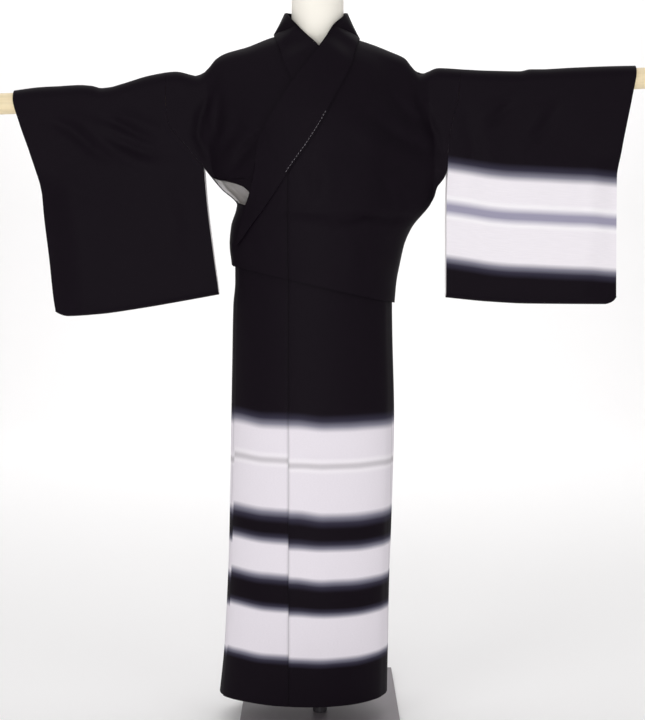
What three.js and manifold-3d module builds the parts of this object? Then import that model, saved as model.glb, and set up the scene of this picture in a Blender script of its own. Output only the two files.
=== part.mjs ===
// A women's kimono on a limbless dress form, with a pole through the sleeves and a flat base plate.
// Millimetres, +Z up, the floor at Z = 0. The front faces -Y and the wearer's left is at +X.
import * as THREE from "three";
import { mergeVertices } from "three/addons/utils/BufferGeometryUtils.js";
import Module from "manifold-3d";

// Grids
const BODY_COLUMNS = 16;
const FRONT_ROWS = 24;
const BACK_ROWS = 16;
const SKIRT_ROWS = 8;
const SKIRT_COLUMN_ANGLE = 9;
const SLEEVE_COLUMNS = 11;
const SLEEVE_ROWS = 22;
const COLLAR_STEPS = 54;
const COVER_STEPS = 42;
const COLLAR_COLUMNS = 6;
const COVER_MARGIN = 0.03;
const FORM_SIDES = 32;
const POLE_SIDES = 24;
const COLUMN_SIDES = 20;
const OKUMI_COLUMNS = 8;
const OKUMI_ROWS = 7;
const LINING_COLUMNS = 4;
const LINING_ROWS = 8;
const ROW_CROWDING = 1.5;
const LOWEST = 0;
const HIGHEST = 1600;
const HALVINGS = 40;
const WELD_DISTANCE = 1e-4;

// Cloth
const WALL = 2;
const COLLAR_WALL = 2.5;
const COVER_WALL = 1;
const LINING_WALL = 1;
const SEAM_GAP = 0.3;
const BODY_GAP = 0.6;
const COVER_GAP = 0.9;
const ARMHOLE_GAP = 2.5;
// How far each layer's middle lies outside the innermost layer of the bodice or of the skirt
const UNDER_COLLAR_LIFT = 2.7;
const OVER_FRONT_LIFT = 7;
const OVER_COLLAR_LIFT = 10.3;
const SKIRT_OVER_LIFT = 2.7;
// The over front comes down to the innermost layer between these two places, on its way to its side seam
const LAP_INNER_X = 95;
const LAP_OUTER_X = 150;
const LAP_INNER_ANGLE = 60;
const LAP_OUTER_ANGLE = 72;
const LAP_SHOULDER_DROP = 60;

// Waist fold: its edge falls from the wearer's right to the left
const FOLD_Z_AT_CENTRE = 895;
const FOLD_SLOPE = -0.232;
const FOLD_OVERLAP = 38;
const HEM_Z = 48;

// Sleeves: how the two walls hang over the pole
const POLE_ROUND = 25;
const SLEEVE_HANG = 470;
const SLEEVE_LOW_HALF_GAP = 11;
const SLEEVE_EDGE_HALF_GAP = 2.1;
const CUFF_OPENING = 230;
const CUFF_TAPER = 60;
const SLEEVE_SHUT_FROM = 0.8;
const SLEEVE_BOTTOM_ROUND = 12;

// Torso lobe of the cloth
const BODY_CENTRE_X = -8;
const FRONT_SHOULDER_ROUND = 200;
const BACK_SHOULDER_ROUND = 110;

// Stand
const POLE_RADIUS = 22;
const POLE_LENGTH = 1400;
const POLE_CENTRE_Z = 1297;
const POLE_SLOPE = 0.04;
const BORE_GAP = 0.4;
const NECK_CENTRE_X = -5;
const NECK_CENTRE_Y = -5;
const NECK_BASE_Z = 1360;
const NECK_STRAIGHT_Z = 1430;
const COLUMN_RADIUS = 15;
const COLUMN_SOCKET = 60;
const PLATE = { width: 327, depth: 600, thickness: 8 };

// Top outline of the garment from cuff to cuff, where it lies on the pole and on the shoulders
const TOP_OUTLINE = [
  { x: -645, z: 1300 },
  { x: -582, z: 1304.5 },
  { x: -500, z: 1309 },
  { x: -484, z: 1308 },
  { x: -462, z: 1302.3 },
  { x: -434, z: 1303.3 },
  { x: -405, z: 1312 },
  { x: -347, z: 1329 },
  { x: -300, z: 1336 },
  { x: -252, z: 1330 },
  { x: -231, z: 1346 },
  { x: -216, z: 1364 },
  { x: -198, z: 1376 },
  { x: -150, z: 1390 },
  { x: -100, z: 1407 },
  { x: -8, z: 1428 },
  { x: 85, z: 1399 },
  { x: 112, z: 1389 },
  { x: 146, z: 1377 },
  { x: 175, z: 1364 },
  { x: 191, z: 1345 },
  { x: 206, z: 1334.5 },
  { x: 247, z: 1344 },
  { x: 300, z: 1341 },
  { x: 354, z: 1338 },
  { x: 416, z: 1337.0 },
  { x: 437, z: 1342 },
  { x: 520, z: 1345 },
  { x: 607, z: 1348 },
  { x: 660, z: 1349 },
];

// Bodice sections. left and right are the sides or the sleeve seams, lobeLeft and lobeRight the ends
// of the torso's bulge, front and back its depths, gap how far the two walls stay apart at the sides,
// leftPower and rightPower how pointed the bulge is towards each side (0.5 is an ellipse).
const BODICE = [
  { z: 850, left: -175, right: 153.5, lobeLeft: -175, lobeRight: 153.5, front: 108, back: 116, gap: 0, leftPower: 0.5, rightPower: 0.5 },
  { z: 900, left: -178, right: 158, lobeLeft: -178, lobeRight: 158, front: 109, back: 116, gap: 0, leftPower: 0.5, rightPower: 0.5 },
  { z: 940, left: -183, right: 165.5, lobeLeft: -183, lobeRight: 165.5, front: 111, back: 115, gap: 0, leftPower: 0.5, rightPower: 0.5 },
  { z: 980, left: -187, right: 175, lobeLeft: -187, lobeRight: 175, front: 113, back: 113, gap: 0, leftPower: 0.5, rightPower: 0.55 },
  { z: 1015, left: -184, right: 191, lobeLeft: -184, lobeRight: 191, front: 113, back: 111, gap: 0, leftPower: 0.5, rightPower: 0.62 },
  { z: 1060, left: -172, right: 228, lobeLeft: -172, lobeRight: 228, front: 114, back: 110, gap: 0.1, leftPower: 0.5, rightPower: 0.8 },
  { z: 1095, left: -206, right: 251, lobeLeft: -200, lobeRight: 234, front: 115, back: 109, gap: 0.5, leftPower: 0.65, rightPower: 0.9 },
  { z: 1137, left: -240, right: 264, lobeLeft: -222, lobeRight: 236, front: 116, back: 108, gap: 1, leftPower: 0.85, rightPower: 1 },
  { z: 1180, left: -274, right: 265, lobeLeft: -228, lobeRight: 236, front: 116, back: 106, gap: 1, leftPower: 1, rightPower: 1 },
  { z: 1235, left: -314, right: 274, lobeLeft: -232, lobeRight: 228, front: 113, back: 104, gap: 1, leftPower: 1, rightPower: 1 },
  { z: 1290, left: -319, right: 287, lobeLeft: -234, lobeRight: 222, front: 109, back: 101, gap: 1, leftPower: 1, rightPower: 1 },
  { z: 1430, left: -319, right: 296, lobeLeft: -234, lobeRight: 216, front: 105, back: 98, gap: 1, leftPower: 1, rightPower: 1 },
];

// The largest folds of the bodice and of the sleeves, each a trough along a straight line in the front
// view. A depth below 0 is a ridge.
const FRONT = -1;
const BACK = 1;
const FOLDS = [
  { side: FRONT, fromX: -252, fromZ: 1238, toX: -242, toZ: 1164, halfWidth: 16, depth: 6 },
  { side: FRONT, fromX: -204, fromZ: 1290, toX: -222, toZ: 1170, halfWidth: 15, depth: -4 },
  { side: FRONT, fromX: -106, fromZ: 1188, toX: -160, toZ: 1122, halfWidth: 15, depth: 5 },
  { side: FRONT, fromX: -540, fromZ: 1226, toX: -420, toZ: 1156, halfWidth: 18, depth: 5 },
  { side: FRONT, fromX: -440, fromZ: 1236, toX: -340, toZ: 1186, halfWidth: 16, depth: 5 },
  { side: FRONT, fromX: 112, fromZ: 1226, toX: 220, toZ: 1176, halfWidth: 18, depth: 6 },
  { side: FRONT, fromX: 414, fromZ: 1270, toX: 352, toZ: 1228, halfWidth: 18, depth: 4 },
  { side: FRONT, fromX: 490, fromZ: 1250, toX: 446, toZ: 1192, halfWidth: 18, depth: 4 },
  { side: FRONT, fromX: 200, fromZ: 1032, toX: 40, toZ: 1024, halfWidth: 20, depth: 7 },
  { side: FRONT, fromX: 196, fromZ: 1076, toX: 70, toZ: 1068, halfWidth: 24, depth: -5 },
  { side: BACK, fromX: -238, fromZ: 1256, toX: -240, toZ: 1170, halfWidth: 17, depth: 5 },
  { side: BACK, fromX: 238, fromZ: 1256, toX: 240, toZ: 1170, halfWidth: 17, depth: 5 },
  { side: BACK, fromX: -130, fromZ: 1030, toX: 120, toZ: 1026, halfWidth: 20, depth: 5 },
];
// A fold fades out over this distance below the garment's top
const FOLD_FREE_DROP = 60;

// Skirt sections, all ellipses with a front and a back depth
const SKIRT = [
  { z: 40, left: -209, right: 138, front: 96, back: 136 },
  { z: 150, left: -198, right: 140, front: 97, back: 134 },
  { z: 260, left: -192, right: 142, front: 98, back: 131 },
  { z: 405, left: -187, right: 147, front: 99, back: 128 },
  { z: 630, left: -183, right: 153, front: 101, back: 123 },
  { z: 850, left: -179, right: 149, front: 102, back: 113 },
  { z: 900, left: -175, right: 151, front: 103, back: 113 },
  { z: 990, left: -176, right: 163, front: 105, back: 110 },
];

// Seams of the bodice as seen from the front
const ARMHOLE_END_Z = 1137;
const RIGHT_FRONT_OPENING = [
  { x: -240, z: ARMHOLE_END_Z },
  { x: -226, z: 1116 },
  { x: -206, z: 1111 },
  { x: -179, z: 1104 },
  { x: -154, z: 1094 },
  { x: -145, z: 1086 },
  { x: -140, z: 1072 },
];
const RIGHT_BACK_OPENING = [
  { x: -240, z: ARMHOLE_END_Z, side: "back" },
  { x: -232, z: 1117, side: "back" },
  { x: -206, z: 1095, side: "back" },
  { x: -176, z: 1068, side: "front" },
  { x: -155, z: 1059, side: "front" },
  { x: -142, z: 1056, side: "front" },
];
const RIGHT_SIDE_SEAM = [
  { x: -144, z: 1030 },
  { x: -155, z: 980 },
  { x: -156, z: 935 },
  { x: -154, z: 850 },
];
// An angle of 90 is the side itself, and a little more is the back's edge there
const BACK_SIDE_ANGLE = 90.01;
const LEFT_FRONT_OPENING = [
  { x: 264, z: ARMHOLE_END_Z },
  { x: 258, z: 1117 },
  { x: 243, z: 1096 },
  { angle: 90, z: 1060 },
];
const LEFT_BACK_OPENING = [
  { x: 264, z: ARMHOLE_END_Z, side: "back" },
  { x: 259, z: 1117, side: "back" },
  { x: 244, z: 1096, side: "back" },
  { angle: BACK_SIDE_ANGLE, z: 1056 },
];
// Necklines and the edges that the collar covers
const RIGHT_NECK_X = -95;
const LEFT_NECK_X = 83;
const BACK_NECK_Z = 1388;
// The back neckline rises from the centre seam towards each neck point
const BACK_NECK_CURVE = [
  { share: 0.7, rise: 5 },
  { share: 0.3, rise: 2 },
];
const RIGHT_FRONT_EDGE = [
  { x: -73, z: 1350 },
  { x: -42, z: 1300 },
  { x: -14, z: 1250 },
  { x: 4, z: 1200 },
  { x: 24, z: 1140 },
  { x: 34, z: 1060 },
  { x: 36, z: 850 },
];
const LEFT_FRONT_EDGE = [
  { x: 59, z: 1350 },
  { x: 28, z: 1300 },
  { x: 0, z: 1250 },
  { x: -28, z: 1200 },
  { x: -54, z: 1155 },
  { x: -63, z: 1136 },
];

// Sleeve edges below the armholes, from top to bottom
const RIGHT_SLEEVE_INNER = [
  { x: -240, z: ARMHOLE_END_Z },
  { x: -233.5, z: 1060 },
  { x: -225, z: 990 },
  { x: -217, z: 930 },
  { x: -209.5, z: 872 },
  { x: -207, z: 820 },
];
const RIGHT_CUFF = [
  { x: -635, z: 1310 },
  { x: -634, z: 1279 },
  { x: -621, z: 1230 },
  { x: -599, z: 1166 },
  { x: -580, z: 1100 },
  { x: -573, z: 1030 },
  { x: -563, z: 950 },
  { x: -554, z: 866 },
  { x: -546, z: 820 },
];
const RIGHT_SLEEVE_BOTTOM = [
  { x: -560, z: 850 },
  { x: -545, z: 836 },
  { x: -525, z: 830 },
  { x: -460, z: 834 },
  { x: -374, z: 846 },
  { x: -281, z: 862 },
  { x: -205, z: 876 },
];
const LEFT_SLEEVE_INNER = [
  { x: 264, z: ARMHOLE_END_Z },
  { x: 261.5, z: 1060 },
  { x: 261, z: 850 },
];
const LEFT_CUFF = [
  { x: 655, z: 1360 },
  { x: 654, z: 1340 },
  { x: 644, z: 1280 },
  { x: 634, z: 1229 },
  { x: 623, z: 1170 },
  { x: 617, z: 1115 },
  { x: 616, z: 1000 },
  { x: 615.5, z: 850 },
];
const LEFT_SLEEVE_BOTTOM = [
  { x: 260, z: 869 },
  { x: 354, z: 860 },
  { x: 437, z: 856 },
  { x: 592, z: 855 },
  { x: 608, z: 860 },
  { x: 618, z: 872 },
];

// The okumi's wedge above the fold, under the collar's lower edge
const OKUMI_UPPER_END_X = -176;
const OKUMI_UPPER_TOP = [
  { x: -185, z: 968 },
  { x: -160, z: 998 },
  { x: -118, z: 1050 },
  { x: -60, z: 1130 },
];

// The lining that shows in the right side opening lies inside the back's edge
const LINING_CLEARANCE = 2.5;
const LINING_EDGE_ANGLE = 2;
const LINING_ANGLE = 24;
const LINING_TOP_Z = 1124;
const LINING_BOTTOM_Z = 1060;

// Stations along the collar strip, from the end under the wearer's right arm up over the chest, round
// the neck and down the hidden under side. Upper and lower are the strip's two edges. An edge lies on
// the body, lift outside its innermost layer, but for its free share, which stands at its own y.
const COLLAR = [
  { upperX: -128, upperZ: 1120, upperFree: 0, lowerX: -164, lowerZ: 972, lowerFree: 0, lift: OVER_COLLAR_LIFT + 1 },
  { upperX: -122, upperZ: 1168, upperFree: 0, lowerX: -118, lowerZ: 1036, lowerFree: 0, lift: OVER_COLLAR_LIFT },
  { upperX: -107, upperZ: 1216, upperFree: 0, lowerX: -66, lowerZ: 1117, lowerFree: 0, lift: OVER_COLLAR_LIFT },
  { upperX: -57, upperZ: 1300, upperFree: 0, lowerX: -6, lowerZ: 1206, lowerFree: 0, lift: OVER_COLLAR_LIFT },
  { upperX: -24, upperZ: 1345, upperFree: 0, lowerX: 32, lowerZ: 1278, lowerFree: 0, lift: OVER_COLLAR_LIFT },
  { upperX: 4, upperY: -86, upperZ: 1384, upperFree: 0, lowerX: 60, lowerY: 0, lowerZ: 1336, lowerFree: 0, lift: OVER_COLLAR_LIFT },
  { upperX: 27, upperY: -68, upperZ: 1424, upperFree: 1, lowerX: 74, lowerY: -60, lowerZ: 1380, lowerFree: 0, lift: 9 },
  { upperX: 50, upperY: -32, upperZ: 1450, upperFree: 1, lowerX: 81, lowerY: -24, lowerZ: 1398, lowerFree: 1, lift: 5 },
  { upperX: 54, upperY: 8, upperZ: 1461, upperFree: 1, lowerX: 78, lowerY: 12, lowerZ: 1404, lowerFree: 1, lift: 0 },
  { upperX: 38, upperY: 40, upperZ: 1464, upperFree: 1, lowerX: 60, lowerY: 58, lowerZ: 1402, lowerFree: 1, lift: 0 },
  { upperX: -8, upperY: 56, upperZ: 1465, upperFree: 1, lowerX: -8, lowerY: 84, lowerZ: 1395, lowerFree: 1, lift: 0 },
  { upperX: -54, upperY: 40, upperZ: 1464, upperFree: 1, lowerX: -76, lowerY: 58, lowerZ: 1406, lowerFree: 1, lift: 0 },
  { upperX: -70, upperY: 8, upperZ: 1461, upperFree: 1, lowerX: -92, lowerY: 12, lowerZ: 1412, lowerFree: 1, lift: 0 },
  { upperX: -66, upperY: -32, upperZ: 1450, upperFree: 1, lowerX: -94, lowerY: -26, lowerZ: 1407, lowerFree: 1, lift: 3 },
  { upperX: -45, upperY: -64, upperZ: 1423, upperFree: 1, lowerX: -86, lowerY: -60, lowerZ: 1384, lowerFree: 0, lift: UNDER_COLLAR_LIFT },
  { upperX: -5, upperY: -78, upperZ: 1382, upperFree: 0, lowerX: -72, lowerY: 0, lowerZ: 1342, lowerFree: 0, lift: UNDER_COLLAR_LIFT },
  { upperX: 21, upperZ: 1343, upperFree: 0, lowerX: -47, lowerZ: 1290, lowerFree: 0, lift: UNDER_COLLAR_LIFT },
  { upperX: 46, upperZ: 1300, upperFree: 0, lowerX: -14, lowerZ: 1226, lowerFree: 0, lift: UNDER_COLLAR_LIFT },
  { upperX: 70, upperZ: 1256, upperFree: 0, lowerX: 12, lowerZ: 1180, lowerFree: 0, lift: UNDER_COLLAR_LIFT },
];
const COVER_START = 2;
const COVER_END = 16;
// The collar's outer face looks away from a point this far below each of its own
const COLLAR_INSIDE_DROP = 60;

// The okumi seam is upright, and these angles round the skirt are the other vertical seams
const OKUMI_SEAM_X = -63;
const OKUMI_POINT_Z = 1130;
const OKUMI_EDGE_ANGLE = -68;
const UNDER_OKUMI_SEAM_ANGLE = 4;
const UNDER_OKUMI_EDGE_ANGLE = 56;
const MID_SKIRT_Z = 500;
const SIDE_SEAM = [
  { z: 40, angle: 84 },
  { z: 630, angle: 74 },
  { z: 990, angle: 76 },
];

// Dress form rings, half width and depths about its own centre
const FORM = [
  { z: 800, halfWidth: 128, front: 78, back: 84 },
  { z: 812, halfWidth: 139, front: 88, back: 94 },
  { z: 880, halfWidth: 142, front: 92, back: 98 },
  { z: 1000, halfWidth: 128, front: 84, back: 84 },
  { z: 1100, halfWidth: 138, front: 92, back: 86 },
  { z: 1200, halfWidth: 156, front: 94, back: 86 },
  { z: 1290, halfWidth: 170, front: 80, back: 76 },
  { z: 1335, halfWidth: 174, front: 62, back: 60 },
  { z: 1358, halfWidth: 164, front: 49, back: 50 },
  { z: 1374, halfWidth: 138, front: 44, back: 46 },
  { z: 1386, halfWidth: 104, front: 44, back: 45 },
  { z: 1396, halfWidth: 74, front: 46, back: 45 },
  { z: 1410, halfWidth: 59, front: 52, back: 46 },
  { z: 1432, halfWidth: 54, front: 54, back: 46 },
  { z: 1494, halfWidth: 54, front: 54, back: 46 },
  { z: 1500, halfWidth: 50, front: 50, back: 42 },
];

// Interpolates a table's column smoothly over its key column, with no overshoot.
function column(rows, key, name) {
  const slopes = [];
  for (let i = 0; i < rows.length - 1; i++) {
    slopes.push((rows[i + 1][name] - rows[i][name]) / (rows[i + 1][key] - rows[i][key]));
  }
  const tangent = (i) => {
    const before = slopes[Math.max(i - 1, 0)];
    const after = slopes[Math.min(i, slopes.length - 1)];
    return before * after <= 0 ? 0 : (2 * before * after) / (before + after);
  };
  return (at) => {
    const last = rows.length - 1;
    if (at <= rows[0][key]) return rows[0][name];
    if (at >= rows[last][key]) return rows[last][name];
    let i = 0;
    while (rows[i + 1][key] < at) i++;
    const width = rows[i + 1][key] - rows[i][key];
    const t = (at - rows[i][key]) / width;
    const hermite = [2 * t ** 3 - 3 * t ** 2 + 1, t ** 3 - 2 * t ** 2 + t, 3 * t ** 2 - 2 * t ** 3, t ** 3 - t ** 2];
    return (
      hermite[0] * rows[i][name] +
      hermite[1] * width * tangent(i) +
      hermite[2] * rows[i + 1][name] +
      hermite[3] * width * tangent(i + 1)
    );
  };
}

const clamp = THREE.MathUtils.clamp;
const mix = THREE.MathUtils.lerp;
const ease = THREE.MathUtils.smoothstep;
const radians = THREE.MathUtils.degToRad;
const degrees = THREE.MathUtils.radToDeg;

const topOutline = column(TOP_OUTLINE, "x", "z");
const bodice = Object.fromEntries(Object.keys(BODICE[0]).map((name) => [name, column(BODICE, "z", name)]));
const skirt = Object.fromEntries(Object.keys(SKIRT[0]).map((name) => [name, column(SKIRT, "z", name)]));
const sideSeamAngle = column(SIDE_SEAM, "z", "angle");
const foldZ = (x) => FOLD_Z_AT_CENTRE + FOLD_SLOPE * (x - BODY_CENTRE_X);

// A quarter round: 0 at the edge, 1 from the distance 1 on.
function quarterRound(distance) {
  return Math.sqrt(1 - (1 - clamp(distance, 0, 1)) ** 2);
}

// Half the distance between the two walls of a sleeve, this far below its top.
function sleeveHalfGap(drop) {
  const hang = clamp((drop - POLE_ROUND) / SLEEVE_HANG, 0, 1);
  return quarterRound(drop / POLE_ROUND) * mix(POLE_ROUND, SLEEVE_LOW_HALF_GAP, hang);
}

// How far the folds move the cloth out at a place in the front view.
function foldRelief(x, z, side) {
  let relief = 0;
  for (const fold of FOLDS) {
    if (fold.side !== side) continue;
    const alongX = fold.toX - fold.fromX;
    const alongZ = fold.toZ - fold.fromZ;
    const share = ((x - fold.fromX) * alongX + (z - fold.fromZ) * alongZ) / (alongX ** 2 + alongZ ** 2);
    const t = clamp(share, 0, 1);
    const away = Math.hypot(x - fold.fromX - t * alongX, z - fold.fromZ - t * alongZ);
    relief -= fold.depth * Math.exp(-((away / fold.halfWidth) ** 2));
  }
  return relief * ease(topOutline(x) - z, 0, FOLD_FREE_DROP);
}

// A point of the bodice's innermost layer, from its x and z in the front view. side is -1 in front.
function bodicePoint(x, z, side) {
  const drop = topOutline(x) - z;
  const walls = sleeveHalfGap(drop) * bodice.gap(z);
  const toLeft = x < BODY_CENTRE_X;
  const end = toLeft ? bodice.lobeLeft(z) : bodice.lobeRight(z);
  const power = toLeft ? bodice.leftPower(z) : bodice.rightPower(z);
  const across = clamp((x - BODY_CENTRE_X) / (end - BODY_CENTRE_X), 0, 1);
  const depth = side < 0 ? bodice.front(z) : bodice.back(z);
  const shoulderRound = side < 0 ? FRONT_SHOULDER_ROUND : BACK_SHOULDER_ROUND;
  const bulge = (depth - walls) * (1 - across ** 2) ** power * quarterRound(drop / shoulderRound);
  const free = Math.max(bodice.gap(z), Math.sqrt(1 - across ** 2));
  return new THREE.Vector3(x, side * (walls + bulge + free * foldRelief(x, z, side)), z);
}

// The angle round the bodice of a point in the front view: 0 in front, 90 at +X, 180 at the back.
function bodiceAngle({ x, z, side = "front", angle: given }) {
  if (given) return given;
  const middle = (bodice.left(z) + bodice.right(z)) / 2;
  const half = (bodice.right(z) - bodice.left(z)) / 2;
  const angle = degrees(Math.asin(clamp((x - middle) / half, -1, 1)));
  if (side === "front") return angle;
  return (x < BODY_CENTRE_X ? -180 : 180) - angle;
}

// A point of the bodice's innermost layer, from its angle.
function bodiceAt(angle, z) {
  const middle = (bodice.left(z) + bodice.right(z)) / 2;
  const half = (bodice.right(z) - bodice.left(z)) / 2;
  const side = Math.abs(angle) <= 90 ? -1 : 1;
  return bodicePoint(middle + half * Math.sin(radians(angle)), z, side);
}

// A point of the skirt's innermost layer.
function skirtAt(angle, z) {
  const middle = (skirt.left(z) + skirt.right(z)) / 2;
  const half = (skirt.right(z) - skirt.left(z)) / 2;
  const turn = radians(angle);
  const depth = Math.abs(angle) <= 90 ? skirt.front(z) : skirt.back(z);
  return new THREE.Vector3(middle + half * Math.sin(turn), -depth * Math.cos(turn), z);
}

// Where limit(x) equals z on the line of heights whose x is xAt(z).
function heightWhere(limit, xAt) {
  let low = LOWEST;
  let high = HIGHEST;
  for (let i = 0; i < HALVINGS; i++) {
    const z = (low + high) / 2;
    if (limit(xAt(z)) > z) low = z;
    else high = z;
  }
  return low;
}

// A grid of a panel's points, top row first. inner(z) and outer(z) are its side edges, as an angle or
// an x, top(x) and bottom(x) its ends, and place(side, z) gives the point.
// It has one more column outside each side edge, which only shapes the normals there.
function panel({ inner, outer, top, bottom, place, columns, rows }) {
  const shares = [-1, ...evenly(columns).map((share) => share * columns), columns + 1];
  const ends = shares.map((share) => {
    const across = share / columns;
    const at = (z) => place(mix(inner(z), outer(z), across), z);
    return {
      at,
      first: heightWhere(top, (z) => at(z).x),
      last: heightWhere(bottom, (z) => at(z).x),
    };
  });
  return rows.map((down) => ends.map(({ at, first, last }) => at(mix(first, last, down))));
}

// A list of count + 1 shares from 0 to 1, close together at the start, or at both ends.
const evenly = (count) => Array.from({ length: count + 1 }, (_, i) => i / count);
const fromEdge = (count) => evenly(count).map((t) => t ** ROW_CROWDING);
const towardsEnds = (count) => evenly(count).map((t) => (1 - Math.cos(Math.PI * t)) / 2);

// Moves the grid's borders inwards, so that two pieces leave the gap between them.
function inset(grid, gap) {
  const pull = (point, inner) => {
    const step = inner.clone().sub(point);
    point.addScaledVector(step, gap / 2 / step.length());
  };
  const rows = grid.length - 1;
  const columns = grid[0].length - 1;
  for (let i = 0; i <= rows; i++) {
    pull(grid[i][0], grid[i][1]);
    pull(grid[i][columns], grid[i][columns - 1]);
  }
  for (let j = 0; j <= columns; j++) {
    pull(grid[0][j], grid[1][j]);
    pull(grid[rows][j], grid[rows - 1][j]);
  }
  return grid;
}

// Unit normals of a grid of points, pointing away from inside(point).
function gridNormals(grid, closed, inside) {
  const rows = grid.length;
  const columns = grid[0].length;
  const at = (i, j) => grid[clamp(i, 0, rows - 1)][closed ? (j + columns) % columns : clamp(j, 0, columns - 1)];
  let outward = 0;
  const normals = grid.map((row, i) =>
    row.map((point, j) => {
      const along = at(i + 1, j).clone().sub(at(i - 1, j));
      const across = at(i, j + 1).clone().sub(at(i, j - 1));
      const normal = along.cross(across).normalize();
      outward += normal.dot(point.clone().sub(inside(point, i)));
      return normal;
    }),
  );
  if (outward < 0) normals.flat().forEach((normal) => normal.negate());
  return normals;
}

const bodyAxis = (point) => new THREE.Vector3(BODY_CENTRE_X, 0, point.z);

// A wall of cloth on a grid of points. lift(point) moves it out along the grid's normals. An open grid
// has a column to spare at each side, and its borders draw back by half the gap.
function wall(spare, { thickness = WALL, gap = 0, lift = () => 0, closed = false, inside = bodyAxis } = {}) {
  const whole = gridNormals(spare, closed, inside);
  const normals = closed ? whole : whole.map((row) => row.slice(1, -1));
  const grid = closed ? spare : inset(spare.map((row) => row.slice(1, -1)), gap);
  const rows = grid.length;
  const columns = grid[0].length;
  const positions = [];
  for (const sign of [1, -1]) {
    grid.forEach((row, i) =>
      row.forEach((point, j) => {
        const out = lift(point) + (sign * thickness) / 2;
        positions.push(...point.clone().addScaledVector(normals[i][j], out).toArray());
      }),
    );
  }
  const index = [];
  const at = (side, i, j) => side * rows * columns + i * columns + ((j + columns) % columns);
  const quad = (a, b, c, d) => index.push(a, b, c, a, c, d);
  const lastColumn = closed ? columns : columns - 1;
  for (let i = 0; i < rows - 1; i++) {
    for (let j = 0; j < lastColumn; j++) {
      quad(at(0, i, j), at(0, i + 1, j), at(0, i + 1, j + 1), at(0, i, j + 1));
      quad(at(1, i, j), at(1, i, j + 1), at(1, i + 1, j + 1), at(1, i + 1, j));
    }
  }
  for (let j = 0; j < lastColumn; j++) {
    quad(at(0, 0, j), at(0, 0, j + 1), at(1, 0, j + 1), at(1, 0, j));
    quad(at(0, rows - 1, j), at(1, rows - 1, j), at(1, rows - 1, j + 1), at(0, rows - 1, j + 1));
  }
  if (!closed) {
    for (let i = 0; i < rows - 1; i++) {
      quad(at(0, i, 0), at(1, i, 0), at(1, i + 1, 0), at(0, i + 1, 0));
      const end = columns - 1;
      quad(at(0, i, end), at(0, i + 1, end), at(1, i + 1, end), at(1, i, end));
    }
  }
  return facingOut(positions, index);
}

// A geometry from positions and triangles, turned round if its volume comes out negative.
function facingOut(positions, index) {
  let volume = 0;
  const corner = (i) => new THREE.Vector3().fromArray(positions, index[i] * 3);
  for (let i = 0; i < index.length; i += 3) {
    volume += corner(i).dot(corner(i + 1).cross(corner(i + 2)));
  }
  if (volume < 0) {
    for (let i = 0; i < index.length; i += 3) {
      [index[i + 1], index[i + 2]] = [index[i + 2], index[i + 1]];
    }
  }
  const geometry = new THREE.BufferGeometry();
  geometry.setAttribute("position", new THREE.Float32BufferAttribute(positions, 3));
  geometry.setIndex(index);
  geometry.computeVertexNormals();
  return geometry;
}

// The over front's lift: full across the chest, none at its side seam and on the shoulder.
function overFrontLift(point) {
  if (point.y > 0) return 0;
  const fromSide = 1 - ease(point.x, LAP_INNER_X, LAP_OUTER_X);
  const fromShoulder = ease(topOutline(point.x) - point.z, 0, LAP_SHOULDER_DROP);
  return OVER_FRONT_LIFT * fromSide * fromShoulder;
}

// A bodice seam as the angle at each height, from its points in the front view, lowest last.
function seamAngle(points) {
  const rows = points.map((point) => ({ z: point.z, angle: bodiceAngle(point) }));
  return column(rows.reverse(), "z", "angle");
}

const onBack = (points) => points.map((point) => ({ ...point, side: "back" }));

// The outer edge of a body length: the armhole, and below it the opening and the side seam.
function outerEdge(armhole, below) {
  const lower = seamAngle(below);
  return (z) => (z >= ARMHOLE_END_Z ? armhole : lower(z));
}

// The inner edge of the back: the neckline, and below it the centre seam.
function backInnerEdge(neckX) {
  const sign = Math.sign(neckX);
  const neckline = seamAngle(
    onBack([
      { x: neckX, z: topOutline(neckX) },
      ...BACK_NECK_CURVE.map(({ share, rise }) => ({ x: mix(BODY_CENTRE_X, neckX, share), z: BACK_NECK_Z + rise })),
      { x: BODY_CENTRE_X + sign, z: BACK_NECK_Z },
    ]),
  );
  const centre = (z) => bodiceAngle({ x: BODY_CENTRE_X, z, side: "back" });
  const wrapped = (z) => (sign < 0 && centre(z) > 0 ? centre(z) - 360 : centre(z));
  return (z) => (z >= BACK_NECK_Z ? neckline(z) : wrapped(z));
}

// Front and back of one body length as a single grid, from the front fold over the shoulder.
function bodyGrid({ frontInner, frontOuter, backInner, backOuter }) {
  const half = (inner, outer, rows) =>
    panel({
      inner,
      outer,
      top: topOutline,
      bottom: foldZ,
      place: bodiceAt,
      columns: BODY_COLUMNS,
      rows: fromEdge(rows),
    });
  const front = half(frontInner, frontOuter, FRONT_ROWS);
  const back = half(backInner, backOuter, BACK_ROWS);
  const grid = [...front.reverse(), ...back.slice(1)];
  for (const row of grid) {
    const [before, last, spare] = row.slice(-3);
    spare.copy(last).multiplyScalar(2).sub(before);
  }
  return grid;
}

// The wearer's right body length. Its front lies under and its back comes round the side.
function rightBody() {
  const neck = { x: RIGHT_NECK_X, z: topOutline(RIGHT_NECK_X) };
  return bodyGrid({
    frontInner: seamAngle([neck, ...RIGHT_FRONT_EDGE]),
    frontOuter: outerEdge(-90, [...RIGHT_FRONT_OPENING, ...RIGHT_SIDE_SEAM]),
    backInner: backInnerEdge(RIGHT_NECK_X),
    backOuter: outerEdge(-BACK_SIDE_ANGLE, [...RIGHT_BACK_OPENING, ...RIGHT_SIDE_SEAM]),
  });
}

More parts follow.
